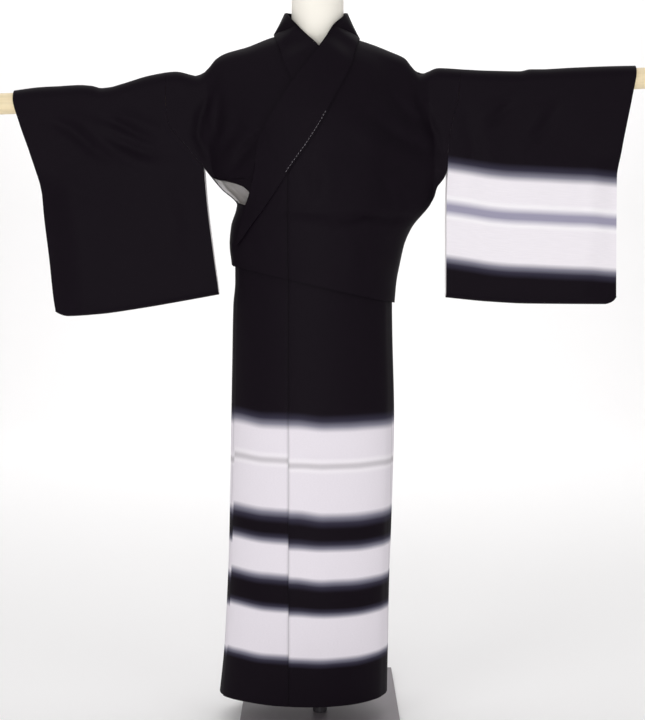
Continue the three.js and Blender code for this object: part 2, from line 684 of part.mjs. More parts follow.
// The wearer's left body length. Its front lies over, down to the okumi seam.
function leftBody() {
  const neck = { x: LEFT_NECK_X, z: topOutline(LEFT_NECK_X) };
  const neckEdge = seamAngle([neck, ...LEFT_FRONT_EDGE]);
  return bodyGrid({
    frontInner: (z) => (z > OKUMI_POINT_Z ? neckEdge(z) : bodiceAngle({ x: OKUMI_SEAM_X, z })),
    frontOuter: outerEdge(90, LEFT_FRONT_OPENING),
    backInner: backInnerEdge(LEFT_NECK_X),
    backOuter: outerEdge(BACK_SIDE_ANGLE, LEFT_BACK_OPENING),
  });
}

// The over side's okumi above the fold: a wedge between the collar, the okumi seam and the fold.
function upperOkumi() {
  return panel({
    inner: (z) => bodiceAngle({ x: OKUMI_SEAM_X, z }),
    outer: (z) => bodiceAngle({ x: OKUMI_UPPER_END_X, z }),
    top: column(OKUMI_UPPER_TOP, "x", "z"),
    bottom: foldZ,
    place: bodiceAt,
    columns: OKUMI_COLUMNS,
    rows: evenly(OKUMI_ROWS),
  });
}

// One panel of the skirt between two seams that are angles at each height.
function skirtPanel(inner, outer, columnCount) {
  return panel({
    inner,
    outer,
    top: (x) => foldZ(x) + FOLD_OVERLAP,
    bottom: () => HEM_Z,
    place: skirtAt,
    columns: columnCount,
    rows: evenly(SKIRT_ROWS),
  });
}

// One sleeve: a flattened tube of rings, each a loop down the front and up the back.
function sleeveGrid({ armhole, inner, outer, bottom }) {
  const below = column([...inner].reverse(), "z", "x");
  const away = Math.sign(outer[0].x) * ARMHOLE_GAP;
  const front = panel({
    inner: (z) => away + (z >= ARMHOLE_END_Z ? armhole(z) : below(z)),
    outer: column([...outer].reverse(), "z", "x"),
    top: topOutline,
    bottom: column(bottom, "x", "z"),
    place: (x, z) => new THREE.Vector3(x, 0, z),
    columns: SLEEVE_COLUMNS,
    rows: towardsEnds(SLEEVE_ROWS),
  }).map((row) => row.slice(1, -1));
  return front[0].map((_, j) => {
    const line = front.map((row) => row[j]);
    const lowest = line[line.length - 1].z;
    const shut = ease(j / SLEEVE_COLUMNS, SLEEVE_SHUT_FROM, 1);
    const wallAt = (side) => (point) => {
      const drop = topOutline(point.x) - point.z;
      const closing = shut * ease(drop, CUFF_OPENING - CUFF_TAPER, CUFF_OPENING);
      const relief = (1 - closing) * foldRelief(point.x, point.z, side);
      const open = mix(sleeveHalfGap(drop), SLEEVE_EDGE_HALF_GAP, closing) + relief;
      const round = quarterRound((point.z - lowest) / mix(SLEEVE_BOTTOM_ROUND, SLEEVE_EDGE_HALF_GAP, closing));
      return new THREE.Vector3(point.x, side * open * round, point.z);
    };
    return [...line.map(wallAt(FRONT)), ...line.map(wallAt(BACK)).slice(1, -1).reverse()];
  });
}

// The middle of a sleeve's wall all round, as the inside that its normals point away from.
function ringCentres(rings) {
  return rings.map((ring) => ring.reduce((sum, point) => sum.add(point), new THREE.Vector3()).divideScalar(ring.length));
}

// A point of the collar's middle layer: width is 0 at its upper edge and 1 at its lower one.
function collarPoint(read, station, width) {
  const x = mix(read.upperX(station), read.lowerX(station), width);
  const z = mix(read.upperZ(station), read.lowerZ(station), width);
  const free = new THREE.Vector3(x, mix(read.upperY(station), read.lowerY(station), width), z);
  const share = mix(read.upperFree(station), read.lowerFree(station), width);
  if (share >= 1) return free;
  const alongX = bodicePoint(x + 1, z, -1).sub(bodicePoint(x - 1, z, -1));
  const alongZ = bodicePoint(x, z + 1, -1).sub(bodicePoint(x, z - 1, -1));
  const normal = alongX.cross(alongZ).normalize();
  const lying = bodicePoint(x, z, -1).addScaledVector(normal, read.lift(station));
  return lying.lerp(free, share);
}

// The collar strip between two stations, with a spare column at each side, and margin as a share of
// its width left free along both edges.
function collarGrid({ from, to, steps, margin }) {
  const keyed = COLLAR.map((row, station) => ({ upperY: 0, lowerY: 0, ...row, station }));
  const read = Object.fromEntries(Object.keys(keyed[0]).map((name) => [name, column(keyed, "station", name)]));
  const widths = [-1, ...evenly(COLLAR_COLUMNS).map((t) => t * COLLAR_COLUMNS), COLLAR_COLUMNS + 1];
  return evenly(steps).map((share) =>
    widths.map((w) => collarPoint(read, mix(from, to, share), mix(margin, 1 - margin, w / COLLAR_COLUMNS))),
  );
}

// The dress form: rings closed at both ends, with a bore for the pole and a socket for the column.
function formRings() {
  const positions = [];
  const index = [];
  const heights = FORM.map((row) => row.z);
  const read = Object.fromEntries(["halfWidth", "front", "back"].map((name) => [name, column(FORM, "z", name)]));
  const levels = heights.flatMap((z, i) => (i ? [(z + heights[i - 1]) / 2, z] : [z]));
  for (const z of levels) {
    const rise = ease(z, NECK_BASE_Z, NECK_STRAIGHT_Z);
    const centreX = mix(BODY_CENTRE_X, NECK_CENTRE_X, rise);
    const centreY = mix(0, NECK_CENTRE_Y, rise);
    for (let i = 0; i < FORM_SIDES; i++) {
      const turn = (i / FORM_SIDES) * 2 * Math.PI;
      const depth = Math.cos(turn) > 0 ? read.front(z) : read.back(z);
      positions.push(centreX + read.halfWidth(z) * Math.sin(turn), centreY - depth * Math.cos(turn), z);
    }
  }
  const bottomCentre = positions.length / 3;
  positions.push(BODY_CENTRE_X, 0, levels[0]);
  positions.push(NECK_CENTRE_X, NECK_CENTRE_Y, levels[levels.length - 1]);
  const at = (row, i) => row * FORM_SIDES + ((i + FORM_SIDES) % FORM_SIDES);
  for (let i = 0; i < FORM_SIDES; i++) {
    index.push(bottomCentre, at(0, i), at(0, i + 1));
    index.push(bottomCentre + 1, at(levels.length - 1, i + 1), at(levels.length - 1, i));
    for (let row = 0; row < levels.length - 1; row++) {
      index.push(at(row, i), at(row + 1, i), at(row + 1, i + 1));
      index.push(at(row, i), at(row + 1, i + 1), at(row, i + 1));
    }
  }
  return facingOut(positions, index);
}

const wasm = await Module();
wasm.setup();

// A closed geometry as a manifold-3d solid, and back.
function toSolid(geometry) {
  const bare = geometry.clone();
  bare.deleteAttribute("normal");
  bare.deleteAttribute("uv");
  const merged = mergeVertices(bare, WELD_DISTANCE);
  return new wasm.Manifold(
    new wasm.Mesh({
      numProp: 3,
      vertProperties: merged.attributes.position.array,
      triVerts: new Uint32Array(merged.index.array),
    }),
  );
}

function toGeometry(solid) {
  const mesh = solid.getMesh();
  const geometry = new THREE.BufferGeometry();
  geometry.setAttribute("position", new THREE.BufferAttribute(mesh.vertProperties, 3));
  geometry.setIndex(new THREE.BufferAttribute(mesh.triVerts, 1));
  geometry.computeVertexNormals();
  return geometry;
}

function cylinder(radius, length, sides) {
  return new THREE.CylinderGeometry(radius, radius, length, sides);
}

// A cylinder along the pole's sloping line through the middle of the shoulders.
function alongPole(radius, length) {
  return cylinder(radius, length, POLE_SIDES)
    .rotateZ(Math.PI / 2)
    .rotateY(-Math.atan(POLE_SLOPE))
    .translate(0, 0, POLE_CENTRE_Z);
}

// The column stands on the plate and ends inside the form.
function columnGeometry(radius, from, to) {
  return cylinder(radius, to - from, COLUMN_SIDES)
    .rotateX(Math.PI / 2)
    .translate(0, 0, (from + to) / 2);
}

function dressForm() {
  const columnTop = FORM[0].z + COLUMN_SOCKET;
  const bore = toSolid(alongPole(POLE_RADIUS + BORE_GAP, POLE_LENGTH));
  const socket = toSolid(columnGeometry(COLUMN_RADIUS + BORE_GAP, 0, columnTop + BORE_GAP));
  return toGeometry(toSolid(formRings()).subtract(bore).subtract(socket));
}

const group = new THREE.Group();

function add(name, geometry, material) {
  const mesh = new THREE.Mesh(geometry, material);
  mesh.name = name;
  group.add(mesh);
}

const blackCloth = new THREE.MeshStandardMaterial({ color: "#1b161d", roughness: 0.75, metalness: 0 });
const bandedCloth = new THREE.MeshStandardMaterial({ color: "#1b161d", roughness: 0.75, metalness: 0 });
const liningCloth = new THREE.MeshStandardMaterial({ color: "#dbd7d7", roughness: 0.7, metalness: 0 });
const formCover = new THREE.MeshStandardMaterial({ color: "#f8f4eb", roughness: 0.6, metalness: 0 });
const paleWood = new THREE.MeshStandardMaterial({ color: "#e9d9b5", roughness: 0.55, metalness: 0 });
const greyPaint = new THREE.MeshStandardMaterial({ color: "#8a8085", roughness: 0.45, metalness: 0.1 });

const constant = (value) => () => value;

function addBodice() {
  add("body_right", wall(rightBody(), { gap: BODY_GAP }), blackCloth);
  add("body_left", wall(leftBody(), { gap: BODY_GAP, lift: overFrontLift }), blackCloth);
}

function addSleeves() {
  const right = sleeveGrid({
    armhole: bodice.left,
    inner: RIGHT_SLEEVE_INNER,
    outer: RIGHT_CUFF,
    bottom: RIGHT_SLEEVE_BOTTOM,
  });
  const left = sleeveGrid({
    armhole: bodice.right,
    inner: LEFT_SLEEVE_INNER,
    outer: LEFT_CUFF,
    bottom: LEFT_SLEEVE_BOTTOM,
  });
  for (const [name, rings, material] of [
    ["sleeve_right", right, blackCloth],
    ["sleeve_left", left, bandedCloth],
  ]) {
    const centres = ringCentres(rings);
    add(name, wall(rings, { closed: true, inside: (_, i) => centres[i] }), material);
  }
}

function addSkirt() {
  const otherSide = (z) => -sideSeamAngle(z);
  const okumiSeam = (z) => {
    const middle = (skirt.left(z) + skirt.right(z)) / 2;
    const half = (skirt.right(z) - skirt.left(z)) / 2;
    return degrees(Math.asin((OKUMI_SEAM_X - middle) / half));
  };
  const over = (point) => SKIRT_OVER_LIFT * (1 - ease(skirtAngle(point), LAP_INNER_ANGLE, LAP_OUTER_ANGLE));
  const panels = [
    ["skirt_front_right", otherSide, constant(UNDER_OKUMI_SEAM_ANGLE), constant(0), blackCloth],
    ["okumi_right", constant(UNDER_OKUMI_SEAM_ANGLE), constant(UNDER_OKUMI_EDGE_ANGLE), constant(0), blackCloth],
    ["skirt_front_left", okumiSeam, sideSeamAngle, over, bandedCloth],
    ["okumi_left", constant(OKUMI_EDGE_ANGLE), okumiSeam, over, bandedCloth],
    ["skirt_back_left", sideSeamAngle, constant(180), constant(0), bandedCloth],
    ["skirt_back_right", constant(-180), otherSide, constant(0), bandedCloth],
  ];
  for (const [name, from, to, lift, material] of panels) {
    const columns = Math.ceil(Math.abs(to(MID_SKIRT_Z) - from(MID_SKIRT_Z)) / SKIRT_COLUMN_ANGLE);
    add(name, wall(skirtPanel(from, to, columns), { gap: SEAM_GAP, lift }), material);
  }
}

// The angle round the skirt of a point of it.
function skirtAngle(point) {
  const middle = (skirt.left(point.z) + skirt.right(point.z)) / 2;
  const half = (skirt.right(point.z) - skirt.left(point.z)) / 2;
  const angle = degrees(Math.asin(clamp((point.x - middle) / half, -1, 1)));
  return point.y <= 0 ? angle : 180 - angle;
}

function addStand() {
  add("dress_form", dressForm(), formCover);
  add("pole", alongPole(POLE_RADIUS, POLE_LENGTH), paleWood);
  add("column", columnGeometry(COLUMN_RADIUS, PLATE.thickness + SEAM_GAP, FORM[0].z + COLUMN_SOCKET), greyPaint);
  const plate = new THREE.BoxGeometry(PLATE.width, PLATE.depth, PLATE.thickness).translate(0, 0, PLATE.thickness / 2);
  add("base_plate", plate, greyPaint);
}

function addCollar() {
  const last = COLLAR.length - 1;
  const strip = collarGrid({ from: 0, to: last, steps: COLLAR_STEPS, margin: 0 });
  add("collar", wall(strip, { thickness: COLLAR_WALL, inside: collarInside }), blackCloth);
  const cover = collarGrid({ from: COVER_START, to: COVER_END, steps: COVER_STEPS, margin: COVER_MARGIN });
  const coverLift = COLLAR_WALL / 2 + COVER_GAP + COVER_WALL / 2;
  add("over_collar", wall(cover, { thickness: COVER_WALL, lift: constant(coverLift), inside: collarInside }), blackCloth);
}

const collarInside = (point) => new THREE.Vector3(BODY_CENTRE_X, 0, point.z - COLLAR_INSIDE_DROP);

function addOkumiPoint() {
  add("okumi_left_upper", wall(upperOkumi(), { gap: SEAM_GAP, lift: constant(OVER_FRONT_LIFT) }), blackCloth);
}

// The lining of the opening under the wearer's right arm, inside the back's edge.
function addLining() {
  const edgeAngle = seamAngle(RIGHT_BACK_OPENING);
  const strip = panel({
    inner: (z) => edgeAngle(z) - LINING_EDGE_ANGLE - LINING_ANGLE,
    outer: (z) => edgeAngle(z) - LINING_EDGE_ANGLE,
    top: constant(LINING_TOP_Z),
    bottom: constant(LINING_BOTTOM_Z),
    place: bodiceAt,
    columns: LINING_COLUMNS,
    rows: evenly(LINING_ROWS),
  });
  const depth = WALL / 2 + LINING_CLEARANCE + LINING_WALL / 2;
  add("lining_right", wall(strip, { thickness: LINING_WALL, lift: constant(-depth) }), liningCloth);
}

addBodice();
addSleeves();
addSkirt();
addStand();
addCollar();
addOkumiPoint();
addLining();

export default group;
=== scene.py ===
import math
import bpy
import numpy as np
from mathutils import Matrix, Vector


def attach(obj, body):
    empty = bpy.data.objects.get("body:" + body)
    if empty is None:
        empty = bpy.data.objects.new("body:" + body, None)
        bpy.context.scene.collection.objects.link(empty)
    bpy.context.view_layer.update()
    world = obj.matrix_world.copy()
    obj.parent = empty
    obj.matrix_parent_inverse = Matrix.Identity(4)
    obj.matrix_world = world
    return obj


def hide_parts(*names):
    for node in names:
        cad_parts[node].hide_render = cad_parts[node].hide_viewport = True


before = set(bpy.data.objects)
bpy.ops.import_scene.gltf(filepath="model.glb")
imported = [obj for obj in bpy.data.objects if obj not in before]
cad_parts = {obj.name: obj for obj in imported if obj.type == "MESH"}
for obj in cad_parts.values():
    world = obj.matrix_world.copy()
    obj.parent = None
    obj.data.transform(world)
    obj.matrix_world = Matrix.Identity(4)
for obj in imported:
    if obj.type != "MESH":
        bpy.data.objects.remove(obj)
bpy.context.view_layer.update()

# The garment's sizes are in millimetres, as a pattern cutter writes them. Meshes are in metres.
mm = 0.001

cloth = {
    "wall": 2.0, "collarWall": 2.5, "coverWall": 1.0, "liningWall": 1.0,
    "seamGap": 0.3, "bodyGap": 0.6, "coverGap": 0.9, "armholeGap": -0.25,
    "seamDip": 0.5, "rowStep": 5.0,
}
# How far each layer's middle lies outside the innermost one
layers = {
    "underCollar": 2.7, "overFront": 7.0, "overCollar": 10.3, "skirtOver": 2.7,
    "foldLift": 3.0, "foldRise": 90,
    "lapInnerX": 95, "lapOuterX": 150, "lapInnerAngle": 60, "lapOuterAngle": 72, "shoulderDrop": 60,
}
torso = {"centreX": -8, "frontShoulderRound": 200, "backShoulderRound": 110, "backNeckZ": 1388,
         "rightNeckX": -88, "leftNeckX": 76, "armholeEndZ": 1137}
waistFold = {"zAtCentre": 895, "slope": -0.232, "overlap": 38}
hem = {"z": 48, "sideRise": 4, "riseFrom": 70, "riseTo": 170}
sleeve = {
    "poleRound": 25, "hang": 470, "lowHalfGap": 11, "edgeHalfGap": 2.1,
    "cuffOpening": 230, "cuffTaper": 60, "shutFrom": 0.8, "bottomRound": 12,
}
stand = {
    "poleRadius": 22, "poleLength": 1400, "poleZ": 1297, "poleSlope": 0.04, "bore": 0.4,
    "neckX": -5, "neckY": -5, "neckBaseZ": 1360, "neckStraightZ": 1430,
    "columnRadius": 15, "socket": 60,
    "plateWidth": 327, "plateDepth": 600, "plateThickness": 8, "plateEdge": 1.2,
}


def table(names, rows):
    return {name: np.array([row[i] for row in rows], float) for i, name in enumerate(names.split())}


# A column of a table read smoothly over its key column, with no overshoot
def column(rows, key, name):
    order = np.argsort(rows[key], kind="stable")
    keys, values = rows[key][order], rows[name][order]
    slopes = np.diff(values) / np.diff(keys)
    before, after = np.append(slopes[:1], slopes), np.append(slopes, slopes[-1:])
    total = np.where(before * after > 0, before + after, 1)
    tangents = np.where(before * after > 0, 2 * before * after / total, 0)

    def read(at):
        at = np.clip(at, keys[0], keys[-1])
        i = np.clip(np.searchsorted(keys, at, side="right") - 1, 0, len(keys) - 2)
        width = keys[i + 1] - keys[i]
        t = (at - keys[i]) / width
        return ((2 * t**3 - 3 * t**2 + 1) * values[i] + (t**3 - 2 * t**2 + t) * width * tangents[i]
                + (3 * t**2 - 2 * t**3) * values[i + 1] + (t**3 - t**2) * width * tangents[i + 1])

    return read


def columns(rows, key):
    return {name: column(rows, key, name) for name in rows if name != key}


def mix(a, b, t):
    return a + (b - a) * t


def ease(x, low, high):
    t = np.clip((x - low) / (high - low), 0, 1)
    return t * t * (3 - 2 * t)


def middleAndHalf(form, z):
    left, right = form["left"](z), form["right"](z)
    return (left + right) / 2, (right - left) / 2


def quarterRound(distance):
    return np.sqrt(1 - (1 - np.clip(distance, 0, 1)) ** 2)


def place(x, y, z):
    return np.stack(np.broadcast_arrays(x, y, z), axis=-1).astype(float)


# The top of the garment from cuff to cuff, lying on the pole and the shoulders
topOutline = column(table("x z", [
    (-645, 1296), (-624, 1299), (-582, 1304.3), (-541, 1306.5), (-499, 1308.8), (-474, 1307), (-455, 1302.5),
    (-435, 1304.5), (-412, 1311), (-347, 1330), (-300, 1336.5), (-252, 1327.5), (-231, 1344), (-216, 1362),
    (-198, 1373), (-150, 1387), (-100, 1406), (-8, 1428), (85, 1399.5), (112, 1390.5), (146, 1377),
    (175, 1364), (191, 1345), (207, 1330.5), (247, 1344), (300, 1341), (354, 1338.5), (416, 1337.4),
    (437, 1341.5), (458, 1341.5), (520, 1344.6), (607, 1348), (660, 1349),
]), "x", "z")

bodice = columns(table("z left right lobeLeft lobeRight front back gap leftPower rightPower", [
    (850, -175, 153.5, -175, 153.5, 108, 116, 0, 0.5, 0.5),
    (900, -178, 158, -178, 158, 109, 116, 0, 0.5, 0.5),
    (940, -183, 165.5, -183, 165.5, 111, 115, 0, 0.5, 0.5),
    (980, -187, 175, -187, 175, 113, 113, 0, 0.5, 0.55),
    (1015, -184, 191, -184, 191, 113, 111, 0, 0.5, 0.62),
    (1060, -172, 228, -172, 228, 114, 110, 0.1, 0.5, 0.8),
    (1095, -206, 251, -200, 234, 115, 109, 0.5, 0.65, 0.9),
    (1137, -240, 264, -222, 236, 116, 108, 1, 0.85, 1),
    (1180, -274, 265, -228, 236, 116, 106, 1, 1, 1),
    (1235, -314, 274, -232, 228, 113, 104, 1, 1, 1),
    (1290, -319, 287, -234, 222, 109, 101, 1, 1, 1),
    (1430, -319, 296, -234, 216, 105, 98, 1, 1, 1),
]), "z")

skirt = columns(table("z left right front back", [
    (40, -209, 138, 96, 136), (150, -198, 140, 97, 134), (260, -192, 142, 98, 131), (405, -187, 147, 99, 128),
    (630, -183, 153, 101, 123), (850, -179, 149, 102, 113), (900, -175, 151, 103, 113),
    (990, -176, 163, 105, 110),
]), "z")

sideSeamAngle = column(table("z angle", [(40, 84), (630, 74), (990, 76)]), "z", "angle")
okumi = {"seamX": -63, "pointZ": 1130, "edgeAngle": -68, "underSeamAngle": 4, "underEdgeAngle": 56,
         "upperEndX": -176, "upperColumns": 26, "upperRows": 36}

# Each crease is a trough with a lower ridge beside it. scale deepens or flattens all of them together
creaseShape = {"scale": 1.5, "ridgeShare": 0.55, "ridgeAway": 1.9, "ridgeWidth": 1.3, "ridgeReach": 3,
               "endPower": 0.7, "endMargin": 0.02}
unevenness = {"broad": 0.55, "across": 41, "down": 67, "fine": 0.35, "slantX": (23, 57), "slantZ": (39, 31)}

# Creases above the waist
creases = [
    # side, width, depth, the ridge's side (1 is to the path's left), path in the front view
    # the wearer's right sleeve, hanging from the pole in swags
    ("front", 11, 4.6, 1, [(-478, 1266), (-433, 1237), (-379, 1208), (-330, 1186)]),
    ("front", 12, 4.2, -1, [(-464, 1214), (-418, 1190), (-370, 1170), (-322, 1160)]),
    ("front", 15, 5.0, 1, [(-572, 1250), (-510, 1214), (-472, 1181), (-418, 1154)]),
    ("front", 20, 1.6, 1, [(-560, 1130), (-500, 1090), (-420, 1072)]),
    ("front", 18, 1.6, 1, [(-330, 1120), (-300, 1020), (-300, 930)]),
    # the wearer's right armhole and the strained cloth above the side opening
    ("front", 11, 5.5, 1, [(-214, 1342), (-232, 1290), (-247, 1240), (-252, 1205), (-232, 1150)]),
    ("front", 10, 3.4, 1, [(-205, 1308), (-212, 1212), (-232, 1158)]),
    ("front", 13, 6.0, -1, [(-104, 1206), (-130, 1190), (-155, 1162), (-174, 1138), (-194, 1118)]),
    ("front", 12, 2.6, -1, [(-150, 1226), (-182, 1190), (-214, 1160)]),
    # the wearer's left chest and armhole
    ("front", 16, 4.6, -1, [(78, 1252), (120, 1216), (173, 1190), (226, 1172)]),
    ("front", 13, 3.2, -1, [(126, 1296), (176, 1246), (236, 1214)]),
    ("front", 11, 3.6, -1, [(200, 1318), (212, 1262), (240, 1200), (250, 1150)]),
    # the wearer's left sleeve
    ("front", 12, 3.2, -1, [(416, 1296), (368, 1243), (342, 1224)]),
    ("front", 13, 3.0, -1, [(497, 1272), (466, 1224), (440, 1186)]),
    ("front", 16, 2.0, 1, [(300, 1270), (318, 1180), (322, 1080)]),
    ("front", 22, 1.4, 1, [(560, 1200), (540, 1090), (545, 960)]),
    # the blouse above the hidden tie, and the flat fold below it
    ("front", 11, 6.0, 1, [(196, 1034), (140, 1030), (92, 1034), (30, 1022)]),
    ("front", 10, 2.4, -1, [(176, 1006), (120, 1010), (60, 1000)]),
    ("front", 13, 2.4, 1, [(70, 1050), (0, 1040), (-60, 1046), (-120, 1034)]),
    ("front", 13, 2.2, 1, [(-16, 1160), (-10, 1110), (-14, 1056)]),
    ("front", 14, 2.6, 1, [(120, 1120), (136, 1080), (160, 1050)]),
    ("front", 12, 1.8, 1, [(-150, 1030), (-140, 980), (-132, 930)]),
    ("front", 14, 1.8, -1, [(96, 990), (90, 940), (96, 900)]),
    # the back: the same strains, a little different
    ("back", 11, 4.2, 1, [(-214, 1336), (-236, 1286), (-246, 1230), (-236, 1160)]),
    ("back", 11, 4.0, -1, [(200, 1318), (216, 1266), (240, 1200), (246, 1156)]),
    ("back", 14, 3.6, -1, [(-120, 1210), (-160, 1160), (-190, 1110)]),
    ("back", 15, 3.8, 1, [(104, 1224), (150, 1170), (196, 1118)]),
    ("back", 12, 4.6, 1, [(-130, 1030), (-60, 1022), (20, 1030), (120, 1024)]),
    ("back", 14, 2.4, 1, [(-70, 1150), (-62, 1100), (-70, 1050)]),
    ("back", 14, 2.2, -1, [(58, 1140), (66, 1096), (58, 1046)]),
    ("back", 13, 3.0, 1, [(-500, 1240), (-440, 1200), (-370, 1176)]),
    ("back", 20, 1.8, 1, [(-340, 1140), (-320, 1040), (-326, 930)]),
    ("back", 13, 3.0, -1, [(500, 1262), (450, 1206), (390, 1176)]),
    ("back", 20, 1.8, 1, [(330, 1150), (326, 1050), (332, 940)]),
]


# How far the cloth stands out of its plain form at a place in the front view, on one side of it
def creaseRelief(x, z, side):
    relief = np.zeros(np.broadcast(x, z).shape)
    shape = creaseShape
    for where, width, depth, ridgeSide, points in creases:
        if (where == "front") != (side < 0):
            continue
        path = np.array(points, float)
        steps = np.hypot(*np.diff(path, axis=0).T)
        total, done = steps.sum(), 0.0
        nearest = np.full(relief.shape, np.inf)
        signed, along = np.zeros(relief.shape), np.zeros(relief.shape)
        for (ax, az), (bx, bz), length in zip(path, path[1:], steps):
            t = np.clip(((x - ax) * (bx - ax) + (z - az) * (bz - az)) / length**2, 0, 1)
            dx, dz = x - mix(ax, bx, t), z - mix(az, bz, t)
            away = np.hypot(dx, dz)
            closer = away < nearest
            nearest = np.where(closer, away, nearest)
            signed = np.where(closer, np.sign((bx - ax) * dz - (bz - az) * dx) * away, signed)
            along = np.where(closer, (done + t * length) / total, along)
            done += length
        taper = np.sin(np.pi * np.clip(along, shape["endMargin"], 1 - shape["endMargin"])) ** shape["endPower"]
        trough = np.exp(-((nearest / width) ** 2))
        fromRidge = (signed * ridgeSide / width - shape["ridgeAway"]) / shape["ridgeWidth"]
        beyond = np.maximum(nearest / width - shape["ridgeReach"], 0)
        ridge = shape["ridgeShare"] * np.exp(-(fromRidge**2)) * np.exp(-(beyond**2))
        relief += shape["scale"] * depth * taper * (ridge - trough)
    # the slight unevenness of hung cloth
    (nearX, farX), (nearZ, farZ) = unevenness["slantX"], unevenness["slantZ"]
    broad = np.sin(x / unevenness["across"] + 1.3) * np.sin(z / unevenness["down"] + 0.4)
    fine = np.sin(x / nearX + z / nearZ) * np.sin(z / farZ - x / farX)
    return relief + unevenness["broad"] * broad + unevenness["fine"] * fine


def sleeveHalfGap(drop):
    hang = np.clip((drop - sleeve["poleRound"]) / sleeve["hang"], 0, 1)
    return quarterRound(drop / sleeve["poleRound"]) * mix(sleeve["poleRound"], sleeve["lowHalfGap"], hang)


# Creases keep clear of the pole, which fills the sleeve's top
def besidePole(drop):
    return ease(drop, 44, 84)


# A point of the bodice's innermost layer from its place in the front view. side is -1 in front.
def bodicePoint(x, z, side):
    drop = topOutline(x) - z
    walls = sleeveHalfGap(drop) * bodice["gap"](z)
    toLeft = x < torso["centreX"]
    end = np.where(toLeft, bodice["lobeLeft"](z), bodice["lobeRight"](z))
    power = np.where(toLeft, bodice["leftPower"](z), bodice["rightPower"](z))
    across = np.clip((x - torso["centreX"]) / (end - torso["centreX"]), 0, 1)
    front = np.asarray(side) < 0
    depth = np.where(front, bodice["front"](z), bodice["back"](z))
    shoulder = np.where(front, torso["frontShoulderRound"], torso["backShoulderRound"])
    bulge = (depth - walls) * (1 - across**2) ** power * quarterRound(drop / shoulder)
    free = np.maximum(ease(bulge, 2, 16), besidePole(drop) * bodice["gap"](z))
    relief = np.where(front, creaseRelief(x, z, -1), creaseRelief(x, z, 1)) * free
    return place(x, side * (walls + bulge + relief * ease(drop, 8, 60)), z)


def bodiceAngle(x, z, back=False):
    middle, half = middleAndHalf(bodice, z)
    angle = np.degrees(np.arcsin(np.clip((x - middle) / half, -1, 1)))
    return np.where(back, np.where(x < torso["centreX"], -180, 180) - angle, angle)


def bodiceAt(angle, z):
    middle, half = middleAndHalf(bodice, z)
    side = np.where(np.abs(angle) <= 90, -1, 1)
    return bodicePoint(middle + half * np.sin(np.radians(angle)), z, side)


# Soft upright waves of the hanging skirt, growing towards the hem
skirtWaves = {
    "deep": 1.5, "angle": 11.5, "fall": 0.0036, "topShare": 0.35, "radius": 110, "sideShare": 0.4,
    "second": 0.6, "secondAngle": 17, "secondFall": 210,
    "fine": 0.4, "fineAngle": 9, "fineFall": 57, "fineDown": 83,
}


def skirtAt(angle, z):
    middle, half = middleAndHalf(skirt, z)
    turn = np.radians(angle)
    depth = np.where(np.abs(angle) <= 90, skirt["front"](z), skirt["back"](z))
    low = 1 - ease(z, 60, 860)
    waves = skirtWaves
    wave = np.sin(angle / waves["angle"] + z * waves["fall"])
    wave = wave + waves["second"] * np.sin(angle / waves["secondAngle"] - z / waves["secondFall"])
    fine = np.sin(angle / waves["fineAngle"] + z / waves["fineFall"]) * np.sin(z / waves["fineDown"])
    out = waves["deep"] * wave * mix(waves["topShare"], 1, low) + waves["fine"] * fine
    scale = 1 + out / waves["radius"]
    across = half * np.sin(turn) * mix(1, scale, waves["sideShare"])
    return place(middle + across, -depth * np.cos(turn) * scale, z)


def skirtAngle(grid):
    x, y, z = grid[..., 0], grid[..., 1], grid[..., 2]
    middle, half = middleAndHalf(skirt, z)
    angle = np.degrees(np.arcsin(np.clip((x - middle) / half, -1, 1)))
    return np.where(y <= 0, angle, 180 - angle)


def foldZ(x):
    return waistFold["zAtCentre"] + waistFold["slope"] * (x - torso["centreX"])


# A grid of a panel's points, top row first, with one column to spare outside each side edge
def panel(inner, outer, top, bottom, point, count, downs):
    shares = np.arange(-1, count + 2) / count

    def heightWhere(limit):
        low, high = np.zeros(len(shares)), np.full(len(shares), 1600.0)
        for _ in range(34):
            z = (low + high) / 2
            above = limit(point(mix(inner(z), outer(z), shares), z)[..., 0]) > z
            low, high = np.where(above, z, low), np.where(above, high, z)
        return low

    first, last = heightWhere(top), heightWhere(bottom)
    z = mix(first, last, downs[:, None])
    return point(mix(inner(z), outer(z), shares), z)


def constant(value):
    return lambda at: np.full(np.shape(at), float(value))


# Rows down a panel of this length: close over the rounded top, even below it, close again at a rounded end
def downRows(length, topRound=0.0, endRound=0.0):
    turns = np.radians(np.linspace(0, 90, 15))
    start = topRound / length * (1 - np.cos(turns)) if topRound else np.array([0.0])
    finish = 1 - endRound / length * (1 - np.cos(turns))[::-1] if endRound else np.array([1.0])
    count = int((finish[0] - start[-1]) * length / cloth["rowStep"])
    return np.concatenate([start, np.linspace(start[-1], finish[0], count + 1)[1:-1], finish])


def gridNormals(grid, closed, inside):
    above = np.concatenate([grid[:1], grid[:-1]])
    below = np.concatenate([grid[1:], grid[-1:]])
    if closed:
        before, after = np.roll(grid, 1, axis=1), np.roll(grid, -1, axis=1)
    else:
        before = np.concatenate([grid[:, :1], grid[:, :-1]], axis=1)
        after = np.concatenate([grid[:, 1:], grid[:, -1:]], axis=1)
    normals = np.cross(below - above, after - before)
    normals /= np.maximum(np.linalg.norm(normals, axis=-1, keepdims=True), 1e-9)
    return normals if (normals * (grid - inside)).sum() > 0 else -normals


def bodyAxis(grid):
    return place(torso["centreX"], 0, grid[..., 2])


